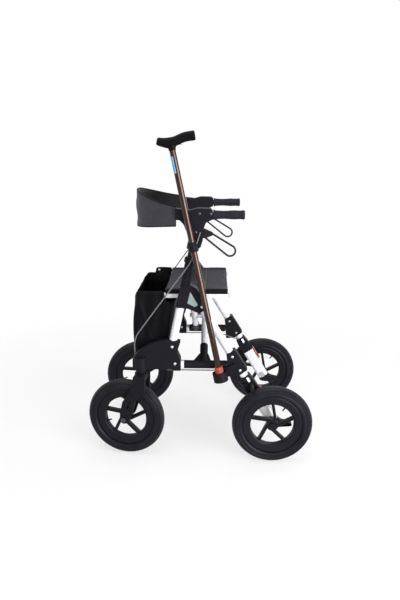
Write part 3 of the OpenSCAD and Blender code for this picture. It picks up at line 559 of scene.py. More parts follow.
def run_along(path):
    """Distance covered along a path at each of its points."""
    return np.concatenate([[0.0], np.cumsum(np.linalg.norm(np.diff(path, axis=0), axis=1))])


def sample(values, run, at):
    """Values given along a run, at other distances along it."""
    return np.stack([np.interp(at, run, column) for column in values.T], -1)


def stitches(name, path, normal, finish, pitch=0.0042, size=(0.0028, 0.0005, 0.0004)):
    """A seam: small bent lozenges set every pitch along a path, flat against the given normals."""
    run = run_along(path)
    at = np.arange(pitch / 2, run[-1], pitch)
    centre = sample(path, run, at)
    up = unit(sample(normal, run, at))
    ahead = sample(np.gradient(path, run, axis=0), run, at)
    side = unit(np.cross(up, ahead))
    ahead = np.cross(side, up)
    along = np.array([-0.5, -0.25, 0.25, 0.5]) * size[0]
    rise = np.array([-0.3, 0.8, 0.8, -0.3]) * size[2]
    thick = np.array([0.3, 1.0, 1.0, 0.3])
    angle = circle(6)
    lift = rise[:, None] + thick[:, None] * size[2] * np.cos(angle)
    sway = thick[:, None] * size[1] * np.sin(angle)
    ahead, up, side = (v[:, None, None, :] for v in (ahead, up, side))
    place = along[:, None, None] * ahead + lift[..., None] * up + sway[..., None] * side
    return capped(name, centre[:, None, None, :] + place, finish, 60)


# Radius and height of a domed head's outline
DOME = np.array([(0.0046, 0.0), (0.0053, 0.0002), (0.0053, 0.0006), (0.0047, 0.0013), (0.0036, 0.0018),
                 (0.0020, 0.0021), (0.0004, 0.0022)])


# Tyres and valves


def wheel_places():
    """Name of each wheel, its centre and its turn about the upright."""
    for side, s in SIDES.items():
        ahead = np.array([math.cos(CASTER_TURN), -s * math.sin(CASTER_TURN), 0.0])
        front = np.array([CASTER_X, s * (FRAME_Y + CASTER_Y), WHEEL_R]) + CASTER_TRAIL * ahead
        yield f"{side}_front", front, -s * CASTER_TURN
        yield f"{side}_rear", np.array([-WHEEL_BASE / 2, s * REAR_TRACK / 2, WHEEL_R]), 0.0


def turned(points, turn):
    """Points turned about the upright."""
    c, s = math.cos(turn), math.sin(turn)
    return points @ np.array([[c, s, 0.0], [-s, c, 0.0], [0.0, 0.0, 1.0]])


BLOCKS = 54
GROOVE_DEPTH = 0.0012
# Grooves round the crown: angle from its middle, width, and depth as a share
CROWN_RINGS = [(0.0, 0.035, 1.0), (0.3, 0.04, 1.0), (0.6, 0.03, 0.6)]
# Rib at the shoulder, then raised and sunk rings on the wall: angle, width and height
WALL_RINGS = [(0.93, 0.055, 0.0013), (1.3, 0.07, 0.0012), (1.9, 0.09, 0.0014), (1.1, 0.06, -0.0016),
              (1.52, 0.07, -0.0012)]


def rings(offset, places):
    """Sum of bell curves, each about its own angle."""
    return sum(height * bump(offset, at, width) for at, width, height in places)


def tread(around, section):
    """Height over the round section, and how deep the grooves are: rings round the crown, slanted cuts
    between them, a rib at the shoulder's edge, raised and sunk rings on the wall."""
    offset = np.abs(section)
    slant = 0.6 * ease(np.cos(BLOCKS * around + 12 * offset), 0.7, 0.95) * (1 - ease(offset, 0.5, 0.58))
    groove = np.clip(rings(offset, CROWN_RINGS) + slant, 0, 1)
    return rings(offset, WALL_RINGS) - GROOVE_DEPTH * groove, groove


def make_tyres():
    """Each tyre is a round section carried round the wheel, flat where it sits on the rim."""
    around, section = np.meshgrid(circle(8 * BLOCKS), circle(112) - math.pi, indexing="ij")
    height, groove = tread(around, section)
    thick = TYRE_W / 2 + height
    radius = np.maximum(WHEEL_R - TYRE_W / 2 + thick * np.cos(section), RIM_R + 0.0001)
    local = np.stack([radius * np.sin(around), thick * np.sin(section), radius * np.cos(around)], -1)
    for wheel, centre, turn in wheel_places():
        tyre = surface(f"{wheel}_air_tyre", turned(local, turn) + centre, RUBBER, (True, True), sharp=40)
        mark_points(tyre, "groove", groove)
        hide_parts(f"{wheel}_tyre")
        carry(tyre, f"{wheel}_wheel")
        make_valve(wheel, centre, turn)


# Radius and height of the valve's outline
VALVE_PROFILE = np.array([(0.0, 0.0), (0.0022, 0.0), (0.0027, 0.0006), (0.0027, 0.0068), (0.0031, 0.0072),
                          (0.0031, 0.0085), (0.0029, 0.0090), (0.0029, 0.0130), (0.0041, 0.0160),
                          (0.0041, 0.0205)])
VALVE_START = 0.064
FRONT_VALVE = math.radians(109)
REAR_VALVE = math.radians(-36)


def make_valve(wheel, centre, turn):
    """Valve stem with its cap, a profile turned about a line out from the wheel's centre."""
    angle = FRONT_VALVE if "front" in wheel else REAR_VALVE
    line = turned(np.array([math.sin(angle), 0.0, math.cos(angle)]), turn)
    grid = revolve_grid(VALVE_PROFILE, centre + VALVE_START * line, line, 24)
    carry(capped(f"{wheel}_valve", grid, RUBBER), f"{wheel}_wheel")


# Brake cables: the route's points are those of the solids, in metres
ARM_FLOOR = 0.349
RUN_Z = 0.341
# Upper run, from the handle's head to the front arm
UPPER_RUN = np.array([(-0.008, 0.0198, 0.862), (0.004, 0.026, 0.825), (0.016, 0.026, 0.790),
                      (0.029, 0.026, 0.753), (0.090, 0.024, 0.6685), (0.150, 0.023, 0.587),
                      (0.200, 0.021, 0.518), (0.226, 0.015, 0.479), (0.236, 0.005, 0.440),
                      (0.236, 0.0, 0.415), (0.236, 0.0, 0.394)])
# Lower run, from the arm along the rail to the brake's housing
LOWER_RUN = np.array([(0.122, 0.0, ARM_FLOOR + 0.008), (0.122, 0.0, ARM_FLOOR - 0.003),
                      (0.115, 0.0, RUN_Z + 0.001), (0.104, 0.0, RUN_Z), (0.040, 0.0, RUN_Z),
                      (-0.060, 0.0, RUN_Z), (-0.086, -0.010, RUN_Z), (-0.104, -0.0215, RUN_Z - 0.001),
                      (-0.118, -0.0225, 0.336), (-0.138, -0.0225, 0.328), (-0.149, -0.0212, 0.323),
                      (-0.1555, -0.015, 0.3215), (-0.1578, -0.0132, 0.3188), (-0.1609, -0.013, 0.3139)])


def make_cables():
    """Round sleeves along the two runs; the lower one rides on the side frame."""
    for side, s in SIDES.items():
        mirror = np.array([1.0, s, 1.0])
        upper, lower = (smooth_path(run, 12) + [0.0, FRAME_Y, 0.0] for run in (UPPER_RUN, LOWER_RUN))
        high, low = (capped(f"{side}_{name}_cable", tube_grid(run, CABLE_R, CABLE_R, 16) * mirror, SLEEVE)
                     for name, run in (("upper", upper), ("lower", lower)))
        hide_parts(f"{side}_brake_cable")
        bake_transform(high)
        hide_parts(f"{side}_brake_cable")
        carry(low, f"{side}_frame")


# Seat

SEAT_HALF = SEAT_Y + BAR_W / 2
SEAT_OVER = SEAT_Z + BAR_H / 2 + 0.0003
SEAT_HEM = 0.017
SEAT_SAG = 0.009
SEAT_PAD = 0.006
SEAT_INSET = 0.003
SEAT_SEAM_X = -0.027
CROSS_SEAM_HALF = 0.172
# How far the stitches lie from the line across, and from the long edges
CROSS_SEAM_GAP = 0.003
HEM_SEAM_GAP = 0.013
SEAT_CORNER = 0.0035
# How far from its edges the seat thins out at the back and the front
SEAT_EDGE = 0.004
# Start and end of each fold in the seat, seen from above
SEAT_FOLDS = [(-0.046, 0.070, -0.098, -0.020), (-0.050, 0.130, -0.104, 0.050),
              (-0.056, -0.010, -0.102, -0.100), (0.070, 0.120, 0.016, 0.010), (0.104, 0.020, 0.050, -0.110)]


def seat_creases(x, y):
    """Slack of the cloth: raised folds along slanting lines that die out at both ends, and soft ripples."""
    fold = np.zeros_like(x)
    for start_x, start_y, end_x, end_y in SEAT_FOLDS:
        run_x, run_y = end_x - start_x, end_y - start_y
        length = math.hypot(run_x, run_y)
        along = ((x - start_x) * run_x + (y - start_y) * run_y) / length ** 2
        aside = ((x - start_x) * run_y - (y - start_y) * run_x) / length
        fold += bump(aside, 0.0, 0.0042) * ease(along, 0.0, 0.3) * (1 - ease(along, 0.7, 1.0))
    ripple = np.sin(38 * x + 6 * y) * np.sin(17 * y + 0.6) + 0.6 * np.sin(21 * x - 25 * y + 1.0)
    return 0.0016 * fold + 0.0006 * ripple


def seat_top(x, y):
    """Height of the seat: a shallow hollow between the rails, raised hems, a sewn line across, creases."""
    hollow = SEAT_SAG * (1 - (y / SEAT_HALF) ** 2)
    seam = -0.0012 * bump(x, SEAT_SEAM_X, 0.0022)
    hem = 0.0012 * ease(np.abs(y), SEAT_HALF - 0.024, SEAT_HALF - 0.02) - 0.0006
    return SEAT_OVER + SEAT_HEM - hollow + seam + hem + seat_creases(x, y)


def seat_seam(name, x, y):
    """A row of stitches that lies on the seat."""
    path = np.stack([x, y, seat_top(x, y)], -1)
    return stitches(name, path, np.tile([0.0, 0.0, 1.0], (len(x), 1)), THREAD)


def seat_binding(name, x, s):
    """Black binding along a long side: a thin strip bent over the edge, from the top down to the rail."""
    over = np.array([(-0.0085, 0.0009), (-0.0045, 0.0010), (-0.0012, 0.0), (0.0009, -0.0026),
                     (0.0011, -0.009), (0.0011, -0.0165)])
    under = over[::-1] - [0.0013, 0.0013]
    loop = np.concatenate([over, under])
    top = seat_top(x, np.full_like(x, SEAT_HALF - SEAT_CORNER))
    y = s * (SEAT_HALF + loop[:, 0])
    grid = np.stack(np.broadcast_arrays(x[:, None], y, top[:, None] + loop[:, 1]), -1)
    return capped(name, grid, TAPE)


def seat_grid(x):
    """A padded section across the rails, carried along x: the top, then on each side a rolled hem and its
    foot on the rail, with the underside between them. It thins to a rounded edge at both ends."""
    corner = SEAT_CORNER
    steps = 6
    roll = np.linspace(0, math.pi / 2, steps)[1:-1]
    flat = np.linspace(-SEAT_HALF + corner, SEAT_HALF - corner, 150)
    inner = np.linspace(SEAT_HALF - BAR_W, -SEAT_HALF + BAR_W, 40)
    half_side = np.concatenate([SEAT_HALF - corner + corner * np.sin(roll), np.full(steps, SEAT_HALF),
                                [SEAT_HALF - 0.002, SEAT_HALF - BAR_W + 0.001]])
    y = np.concatenate([flat, half_side, inner, -half_side[::-1]])
    grid_x, grid_y = np.meshgrid(x, y, indexing="ij")
    top = seat_top(grid_x, np.clip(grid_y, -SEAT_HALF + corner, SEAT_HALF - corner))
    n, k = len(flat), len(half_side)
    under = slice(n + k, n + k + len(inner))
    share = np.concatenate([0 * roll, 0.92 * np.linspace(0, 1, steps), [1.0, 1.0]])
    fall = np.concatenate([corner * (1 - np.cos(roll)), np.full(steps + 2, corner)])
    z = np.array(top)
    for side, order in ((slice(n, n + k), 1), (slice(under.stop, None), -1)):
        z[:, side] = (top[:, side] - fall[::order]) * (1 - share[::order]) + SEAT_OVER * share[::order]
    z[:, under] = np.maximum(seat_top(grid_x[:, under], grid_y[:, under]) - SEAT_PAD, SEAT_OVER)
    nearest = np.minimum(x - x[0], x[-1] - x)
    round_off = np.sqrt(np.clip(1 - (1 - np.clip(nearest / SEAT_EDGE, 0, 1)) ** 2, 0.02, 1))[:, None]
    middle = 0.5 * (top + np.maximum(top - SEAT_PAD, SEAT_OVER))
    return np.stack([grid_x, grid_y, middle + (z - middle) * round_off], -1)


def make_seat():
    """Padded cloth whose rolled hems sit on the rails, its rows closer together at the back and the front,
    with a sewn line across, one along each hem and a binding over each long edge."""
    length = SEAT_LENGTH - 2 * SEAT_INSET
    back = SEAT_FRONT - SEAT_LENGTH + SEAT_INSET
    t = np.linspace(0, 1, 140)
    x = back + length * (0.5 - 0.5 * np.cos(math.pi * t)) * 0.12 + length * t * 0.88
    seat = capped("seat_cloth", seat_grid(x), SEAT_CLOTH)
    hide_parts("seat_sling")
    inside = x[2:-2]
    across = np.linspace(-CROSS_SEAM_HALF, CROSS_SEAM_HALF, 120)
    trims = [seat_seam("seat_cross_seam", np.full_like(across, SEAT_SEAM_X + CROSS_SEAM_GAP), across)]
    for side, s in SIDES.items():
        hem = np.full_like(inside, s * (SEAT_HALF - HEM_SEAM_GAP))
        trims.append(seat_seam(f"seat_{side}_seam", inside, hem))
        trims.append(seat_binding(f"seat_{side}_binding", inside, s))
    for piece in [seat] + trims:
        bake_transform(piece)


# Front bag

BAG_LOW = 0.398
BAG_SKIN = 0.0022
# Rim of the bag, X and Z: the near side, and the far side with its tab
BAG_NEAR = np.array([(0.080, 0.590), (0.122, 0.596), (0.131, 0.634), (0.222, 0.634), (0.240, 0.605)])
BAG_FAR = np.array([(0.080, 0.590), (0.122, 0.596), (0.131, 0.640), (0.189, 0.640), (0.193, 0.617),
                    (0.228, 0.617), (0.240, 0.605)])
SNAP_AT = (0.181, -0.1995, 0.633)
# Rear end, front end and half width of the bag at its foot and at its rim
BAG_FOOT = (0.114, 0.248, 0.196)
BAG_TOP = (0.086, 0.238, 0.203)
# Half height and half thickness of the tape on the rim
RIM_TAPE = (0.0052, 0.0019)
BAG_DIP = 0.006
BAG_BELLY = 0.004
# Distance between the folds on the front, and their depth: the large ones and the small ones
FRONT_FOLD = (0.112, 0.007)
SMALL_FOLD = (0.061, 0.0022)
# Rear end and length of a side's slack, then depth of its hollow, of its drag lines and of its upright folds
SIDE_SPAN = (0.110, 0.125)
SIDE_DEPTHS = (0.006, 0.0035, 0.0022)


def round_plan(rear, front, half, count):
    """A squarish closed outline in plan, its points evenly spaced: a superellipse of the eighth power."""
    a = np.linspace(0, 2 * math.pi, 4001)
    power = 2 / 8
    x = (rear + front) / 2 + (front - rear) / 2 * squared(np.cos(a), power)
    y = half * squared(np.sin(a), power)
    outline = np.stack([x, y], -1)
    run = run_along(outline)
    return sample(outline, run, np.linspace(0, run[-1], count, endpoint=False))


def bag_folds(x, y, out_x, out_y, level):
    """Slack of the bag, outwards: ridged upright folds on the front, drag lines from the hanging corners
    and a hollow in the sides, all dying out at the foot."""
    front = ease(out_x, 0.5, 0.95)
    sides = ease(np.abs(out_y), 0.5, 0.95)
    pitch, deep = FRONT_FOLD
    small_pitch, small_deep = SMALL_FOLD
    ridge = 1 - np.abs(np.sin(math.pi * (y / pitch + 0.18 + 0.12 * level)))
    small = np.sin(2 * math.pi * (y / small_pitch + 0.4 * level)) * np.sin(math.pi * level)
    hang = (deep * (ridge ** 1.6 - 0.4) + small_deep * small) * (1 - 0.8 * ease(level, 0.6, 1.0))
    rear, length = SIDE_SPAN
    hollow_deep, drag_deep, upright_deep = SIDE_DEPTHS
    along = (x - rear) / length
    hollow = -hollow_deep * np.sin(math.pi * np.clip(level, 0, 1)) * np.sin(math.pi * np.clip(along, 0, 1))
    rear_drag = bump(along - 0.1 - 0.75 * (1 - level), 0.0, 0.07)
    front_drag = bump(along - 0.95 + 0.5 * (1 - level), 0.0, 0.06)
    drag = rear_drag + 0.7 * front_drag
    upright = upright_deep * np.sin(2 * math.pi * (along * 2.3 + 0.25 * level))
    return (front * hang + sides * (hollow + drag_deep * drag + upright)) * ease(level, 0.02, 0.3)


def make_bag():
    """The bag is a squarish outline carried from foot to rim, with its floor drawn in to the middle, its
    folds, and a skin. Tape binds the rim over a sewn line, and the far side's tab has a snap."""
    count = 320
    foot, top = round_plan(*BAG_FOOT, count), round_plan(*BAG_TOP, count)
    level = np.linspace(0, 1, 60)[:, None]
    plan = foot[None] * (1 - level[..., None]) + top[None] * level[..., None]
    around = np.roll(plan, -1, 1) - np.roll(plan, 1, 1)
    out = unit(np.stack([around[..., 1], -around[..., 0]], -1))
    near, far = (np.interp(top[:, 0], *line.T) for line in (BAG_NEAR, BAG_FAR))
    rim = np.where(top[:, 1] > 0, near, far)[None]
    z = BAG_LOW + (rim - BAG_LOW) * level
    belly = BAG_BELLY * np.sin(math.pi * np.clip(level * 1.2, 0, 1)) * ease(out[..., 0], 0.3, 0.9)
    folds = bag_folds(*np.moveaxis(plan, -1, 0), *np.moveaxis(out, -1, 0), np.broadcast_to(level, z.shape))
    wall = np.concatenate([plan + (folds + belly)[..., None] * out, z[..., None]], -1)
    draw = np.linspace(0.04, 1, 14)[:, None]
    middle = foot.mean(0)
    floor_xy = middle + (foot - middle)[None] * (draw * (1 - 0.05 * draw ** 6))[..., None]
    floor_z = np.broadcast_to(BAG_LOW - BAG_DIP + BAG_DIP * draw ** 8, floor_xy.shape[:2])
    floor = np.concatenate([floor_xy, floor_z[..., None]], -1)
    shell = np.concatenate([floor[:-1], wall])
    bag = surface("bag_shell", shell, BAG_CLOTH, (False, True), (True, False), 60)
    skin = bag.modifiers.new("skin", "SOLIDIFY")
    skin.thickness = BAG_SKIN
    skin.offset = -1
    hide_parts("front_bag")
    rim_tape = tube_grid(wall[-1], *RIM_TAPE, 12, (0.0, 0.0, 1.0), True)
    tape = surface("bag_rim_tape", rim_tape, TAPE, (True, True))
    seam_row = 57
    outwards = np.concatenate([out[seam_row], np.zeros((count, 1))], -1)
    seam = stitches("bag_seam", wall[seam_row] + 0.0002 * outwards, outwards, DARK_THREAD)
    snap = capped("bag_snap", revolve_grid(DOME, SNAP_AT, (0, 1, 0), 24), ZINC, 60)
    for piece in (bag, tape, seam, snap):
        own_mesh(piece)
        carry(piece, "left_frame")


# Back band

BAND_FRONT = 0.242
BAND_END = 0.080
BAND_TOP = 0.994
BAND_LOW = 0.858
BAND_RISE = 0.046
BAND_FALL = 0.023
BAND_HALF = 0.0042
# How far the band's middle layer lies inside the bow
BAND_INSET = 0.0035
PIPING_R = 0.0028


def bow(half, rise):
    """Radius of the arc with the given half chord and rise."""
    return (half * half + rise * rise) / (2 * rise)


BAND_R = bow(FRAME_Y, BAND_FRONT - BAND_END)
BAND_ANGLE = math.asin(FRAME_Y / BAND_R)


def band_place(angle, up, out):
    """Point on the band: angle round the bow, up from -1 to 1 over its height, out from its middle layer."""
    y = BAND_R * np.sin(angle)
    rise_r, fall_r = bow(FRAME_Y, BAND_RISE), bow(FRAME_Y, BAND_FALL)
    top = BAND_TOP - (rise_r - np.sqrt(rise_r ** 2 - y ** 2))
    low = BAND_LOW + (fall_r - np.sqrt(fall_r ** 2 - y ** 2))
    z = (top + low) / 2 + up * (top - low) / 2
    radius = BAND_R - BAND_INSET + out
    return np.stack([BAND_FRONT - BAND_R + radius * np.cos(angle), radius * np.sin(angle), z], -1)


def band_slack(angle, up):
    """Loose cloth: long ripples along the bow and a wave up the front, dying out at the ends."""
    share = 1 - np.abs(angle / BAND_ANGLE)
    ripple = np.sin(5.5 * up + 9 * angle) * 0.55 + np.sin(3.2 * up - 5 * angle + 0.6) * 0.45
    wave = np.sin(5.0 * up + 0.8) * bump(angle, 0.0, 0.45)
    return (0.0012 * ripple + 0.0014 * wave) * ease(share, 0.03, 0.35)


CLOTH = {"quality": 6, "mass": 0.2, "tension_stiffness": 12, "compression_stiffness": 12,
         "bending_stiffness": 0.4, "use_pressure": True, "vertex_group_mass": "held"}


def blow_up(piece, pinned, pressure, most):
    """Fills a closed piece by cloth simulation, its pinned points held, each move kept under the limit."""
    group = piece.vertex_groups.new(name="held")
    group.add(pinned.tolist(), 1.0, "REPLACE")
    cloth = piece.modifiers.new("fill", "CLOTH")
    for key, value in CLOTH.items():
        setattr(cloth.settings, key, value)
    cloth.settings.uniform_pressure_force = pressure
    cloth.settings.effector_weights.gravity = 0
    scene = bpy.context.scene
    for step in range(1, 21):
        scene.frame_set(step)
    shaped = piece.evaluated_get(bpy.context.evaluated_depsgraph_get())
    after = np.empty(3 * len(piece.data.vertices), np.float32)
    shaped.data.vertices.foreach_get("co", after)
    piece.modifiers.remove(cloth)
    piece.vertex_groups.clear()
    scene.frame_set(1)
    before = np.empty_like(after)
    piece.data.vertices.foreach_get("co", before)
    move = (after - before).reshape(-1, 3)
    length = np.linalg.norm(move, axis=1, keepdims=True)
    move *= most * np.tanh(length / most) / np.maximum(length, 1e-9)
    piece.data.vertices.foreach_set("co", (before.reshape(-1, 3) + move).ravel())
    piece.data.update()


def make_band():
    """The band is a flat rounded section carried round the bow, with slack ripples, filled by cloth
    simulation. Piping and a sewn line follow its edges."""
    rows, columns = 150, 64
    angle = np.linspace(-BAND_ANGLE, BAND_ANGLE, rows)[:, None]
    turn = circle(columns)[None]
    up = squared(np.sin(turn), 0.6) * 0.985
    out = BAND_HALF * squared(np.cos(turn), 0.5)
    grid = band_place(angle + 0 * up, up + 0 * angle, out + band_slack(angle, up))
    band = capped("padded_band", grid, BAND_CLOTH, 70)
    # Marks the inside face, for the painted shade in its finish.
    mark_points(band, "inner_shade", np.tile(ease(-out, 0.0, 0.002), (rows, 1)))
    sewn = 0.87
    held = np.broadcast_to(np.abs(up) > sewn - 0.02, (rows, columns)).copy()
    held[[0, 1, -2, -1]] = True
    blow_up(band, np.flatnonzero(held), pressure=2.5, most=0.004)
    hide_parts("back_band")
    path = np.linspace(-BAND_ANGLE, BAND_ANGLE, 160)
    pieces = [band]
    for name, level in (("upper", 1.0), ("lower", -1.0)):
        edge = band_place(path, np.full_like(path, level), band_slack(path, level))
        piping = tube_grid(edge, PIPING_R, PIPING_R, 12, (0.0, 0.0, 1.0))
        pieces.append(capped(f"band_{name}_piping", piping, TAPE))
        layer = 0.77 * BAND_HALF + band_slack(path, sewn * level)
        seam = band_place(path, np.full_like(path, sewn * level), layer)
        away = unit(band_place(path, 0 * path, layer + 0.1) - band_place(path, 0 * path, layer))
        pieces.append(stitches(f"band_{name}_seam", seam, away, DARK_THREAD))
    for piece in pieces:
        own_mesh(piece)
        carry(piece, "left_handle")


# Cane

# Spans along the cane, from its foot: the clip's strap, the pale patch with its turn in degrees, the neck
CLIP_SPAN = (0.491, 0.524)
PATCH_SPAN = (0.764, 0.820)
PATCH_TURN = (-35, 80)
NECK_SPAN = (0.839, 0.865)
NECK_R = 0.0124
# The handle's line in millimetres: place ahead, aside and up, half height and half width
HANDLE = np.array([(45, 0, 879, 12.5, 9.5), (27, 0, 871, 15, 11), (6, 0, 865, 18, 13),
                   (-17, 0, 867, 16, 12.5), (-48, 0, 873, 16, 11.5), (-84, 0, 871.5, 16.5, 12)])


def leaning(points, lean, foot):
    """Points given along an upright, leant forwards and set on their foot."""
    c, s = math.cos(lean), math.sin(lean)
    return points @ np.array([[c, 0.0, -s], [0.0, 1.0, 0.0], [s, 0.0, c]]) + foot


def on_cane(points):
    """Points given along the cane's own line, put in their place."""
    return leaning(points, CANE_LEAN, CANE_FOOT)


def make_handle():
    """Derby handle: an oval section carried along a bent line, blunt at both ends, over a neck that
    flares into it."""
    route = smooth_path(HANDLE / 1000, 16)
    path = route[:, :3]
    run = run_along(path)
    near_end = np.minimum(run, run[-1] - run)
    blunt = np.sqrt(1 - 0.45 * (1 - np.clip(near_end / 0.004, 0, 1)) ** 2)
    grid = tube_grid(path, route[:, 4] * blunt, route[:, 3] * blunt, 36)
    handle = capped("cane_derby", on_cane(grid), POLISHED, 60)
    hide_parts("cane_handle")
    rise = np.linspace(0, 1, 16)
    low, high = NECK_SPAN
    stem = np.stack([-0.004 * rise ** 3, 0 * rise, low + (high - low) * rise], -1)
    flared = tube_grid(stem, NECK_R - 0.002 * rise, NECK_R + 0.026 * rise ** 3, 40)
    return handle, capped("cane_neck", on_cane(flared), POLISHED, 60)


def make_patch():
    """Pale patch laid round part of the tube."""
    turn = np.radians(np.linspace(*PATCH_TURN, 24))
    level, angle = np.meshgrid(np.linspace(*PATCH_SPAN, 12), turn, indexing="ij")
    radius = CANE_R + 0.0003
    grid = np.stack([radius * np.cos(angle), radius * np.sin(angle), level], -1)
    return surface("cane_pale_patch", on_cane(grid[:, ::-1]), PALE_BAND)


def make_strap():
    """Ring of the clip round the cane, its outer edges chamfered."""
    low, high = CLIP_SPAN
    inner, outer, cut = CANE_R + 0.0006, CANE_R + 0.0038, 0.001
    profile = np.array([(inner, low), (outer - cut, low), (outer, low + cut), (outer, high - cut),
                        (outer - cut, high), (inner, high)])
    ring = revolve_grid(profile, (0.0, 0.0, 0.0), (0.0, 0.0, 1.0), 40)
    return surface("cane_strap", on_cane(ring), NYLON, (True, True))


def make_cane():
    """Handle, neck and patch lift with the cane. The strap stays on the frame."""
    for piece in (*make_handle(), make_patch()):
        carry(piece, "cane")
    carry(make_strap(), "left_frame")


# Plates, caps and rivet heads on the frame

INLAY_CORNERS = np.array([(0.029, 0.649), (0.040, 0.604), (0.012, 0.590), (-0.001, 0.598)])
HUB_HALF = 0.020
INLAY_DEEP = 0.0012
INLAY_FIT = 0.97


def make_inlays():
    """Plain plate in each hub's recess: its four corners joined by a grid that rounds down at the border."""
    u, v = np.meshgrid(np.linspace(0, 1, 30), np.linspace(0, 1, 30), indexing="ij")
    a, b, c, d = INLAY_CORNERS
    u3, v3 = u[..., None], v[..., None]
    centre = INLAY_CORNERS.mean(0)
    flat = (1 - u3) * ((1 - v3) * a + v3 * b) + u3 * ((1 - v3) * d + v3 * c)
    flat = centre + (flat - centre) * INLAY_FIT
    border = np.maximum(np.abs(2 * u - 1), np.abs(2 * v - 1))
    rise = INLAY_DEEP * (1 - border ** 24) - 0.0002
    for side, s in SIDES.items():
        y = s * (FRAME_Y + HUB_HALF - INLAY_DEEP + rise)
        grid = np.stack([flat[..., 0], y, flat[..., 1]], -1)
        plate = surface(f"{side}_inlay", grid if s > 0 else grid[::-1], INLAY)
        carry(plate, f"{side}_frame")


def block_grid(centre, half, power):
    """A rounded block: a ball whose two turns are squared off by the power."""
    lat, lon = np.meshgrid(np.linspace(-1.55, 1.55, 18), circle(40), indexing="ij")
    ring = squared(np.cos(lat), power)
    unit_block = np.stack([squared(np.sin(lat), power), ring * squared(np.cos(lon), power),
                           ring * squared(np.sin(lon), power)], -1)
    return np.asarray(centre) + unit_block * np.asarray(half)


LEG_LEAN = math.radians(31.3)
LENS_AT = (-0.0272, 0.0, 0.104)
LENS_HALF = (0.0042, 0.0075, 0.032)


def make_reflectors():
    """A rounded red lens on the rear edge of each lower leg."""
    for side, s in SIDES.items():
        foot = np.array([-WHEEL_BASE / 2, s * FRAME_Y, WHEEL_R])
        grid = leaning(block_grid(LENS_AT, LENS_HALF, 0.4), LEG_LEAN, foot)
        lens = capped(f"{side}_lens", grid, REFLECTOR, 60)
        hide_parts(f"{side}_reflector")
        carry(lens, f"{side}_frame")


CAP_HALF = (0.0022, BAR_W / 2 + 0.0004, BAR_H / 2 + 0.0004)


def make_end_caps():
    """Grey caps that close both ends of the seat rails."""
    ends = (SEAT_FRONT, SEAT_FRONT - SEAT_LENGTH)
    for side, body in (("left", "cross_b"), ("right", "cross_a")):
        y = SIDES[side] * SEAT_Y
        blocks = np.stack([block_grid((x, y, SEAT_Z), CAP_HALF, 0.3) for x in ends])
        carry(capped(f"{side}_rail_caps", blocks, END_CAP, 60), body)


# Rivet heads: place ahead, up and out from the side frame's middle
FRAME_RIVETS = [(0.096, 0.438, 0.020), (0.086, 0.372, 0.020), (-0.126, 0.401, 0.020), (-0.156, 0.348, 0.020),
                (-0.014, 0.592, 0.022)]
HEAD_RIVETS = [(-0.005, 0.926, 0.017), (-0.045, 0.926, 0.017), (0.008, 0.862, 0.017)]


def make_rivets():
    """Domed heads: one profile turned about each rivet's line."""
    groups = (("frame_rivets", FRAME_RIVETS, "frame", ZINC),
              ("head_rivets", HEAD_RIVETS, "handle", DARK_STEEL))
    for side, s in SIDES.items():
        for name, places, body, finish in groups:
            domes = [revolve_grid(DOME, (x, s * (FRAME_Y + y), z), (0, s, 0), 24) for x, z, y in places]
            carry(capped(f"{side}_{name}", np.stack(domes), finish, 60), f"{side}_{body}")


# Studio

FLOOR_REACH = 14.0
FLOOR_DROP = 0.0005
FLOOR_TONE = (0.86, 0.86, 0.89, 1.0)
# Share of plain white in the floor near the middle, and the distances over which it turns all white
FLOOR_WHITE = 0.64
WHITE_SPAN = (0.5, 2.0)
# Strength of the sky as a light, and as it shows
SKY_LEVELS = (0.4, 1.0)
# Name, place, aim, width, height and power of each lamp
LAMPS = [("top", (0.2, 0.3, 2.6), (0.0, 0.0, 0.5), 2.4, 2.4, 38.0),
         ("right", (-1.9, 2.2, 0.85), (0.0, 0.25, 0.85), 2.2, 1.5, 112.0),
         ("front", (1.5, 2.6, 1.6), (0.0, 0.0, 0.5), 1.6, 1.6, 10.0),
         ("back", (-1.2, -2.4, 1.8), (0.0, 0.0, 0.5), 1.8, 1.8, 18.0)]


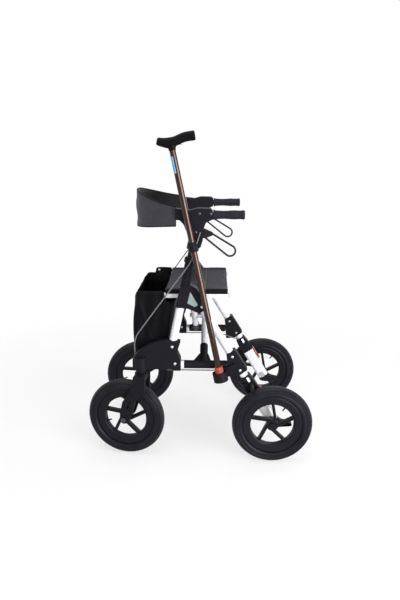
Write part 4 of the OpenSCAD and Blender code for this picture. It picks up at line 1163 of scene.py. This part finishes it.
def make_lamp(name, at, aim, width, height, power):
    """An area lamp at a place, turned to its aim."""
    data = bpy.data.lights.new(name, "AREA")
    data.shape = "RECTANGLE"
    data.size = width
    data.size_y = height
    data.energy = power
    lamp = bpy.data.objects.new(name, data)
    lamp.visible_camera = False
    away = unit(np.array(at) - np.array(aim))
    side = unit(np.cross([0.0, 0.0, 1.0], away) + [1e-6, 0.0, 0.0])
    stand(lamp, at, (side, np.cross(away, side), away))


def start_studio():
    """White studio: a pale floor that keeps the shadows and turns to plain white far off, and soft lamps."""
    scene = bpy.context.scene
    scene.view_settings.view_transform = "Standard"
    scene.world = bpy.data.worlds.new("studio")
    sky = Finish("studio", scene.world)
    white = (1.0, 1.0, 1.0, 1.0)
    dim, bright = (sky.place("ShaderNodeBackground", None, {"Color": white, "Strength": level})
                   for level in SKY_LEVELS)
    mixed = sky.place("ShaderNodeMixShader", None, {0: sky.shown(), 1: dim, 2: bright})
    sky.place("ShaderNodeOutputWorld", None, {"Surface": mixed})
    for lamp in LAMPS:
        make_lamp(*lamp)
    f = Finish("studio_floor")
    distance = f.place("ShaderNodeVectorMath", {"operation": "LENGTH"}, {0: f.spot()}, out=1)
    matte = f.place("ShaderNodeBsdfPrincipled", None, {"Base Color": FLOOR_TONE, "Roughness": 0.8})
    glow = f.place("ShaderNodeEmission", None, {"Color": white, "Strength": 1.0})
    share = f.shown() * (FLOOR_WHITE + (1 - FLOOR_WHITE) * f.band(distance, *WHITE_SPAN))
    blank = f.place("ShaderNodeMixShader", None, {0: share, 1: matte, 2: glow})
    f.place("ShaderNodeOutputMaterial", None, {"Surface": blank})
    edge = np.array([-FLOOR_REACH, FLOOR_REACH])
    x, y = np.meshgrid(edge[::-1], edge)
    floor = surface("floor", np.stack([x, y, np.full_like(x, -FLOOR_DROP)], -1), f.material)


make_camera()
start_studio()
dress_solids()
make_cables()
make_tyres()
make_seat()
make_bag()
make_band()
make_cane()
make_inlays()
make_reflectors()
make_end_caps()
make_rivets()
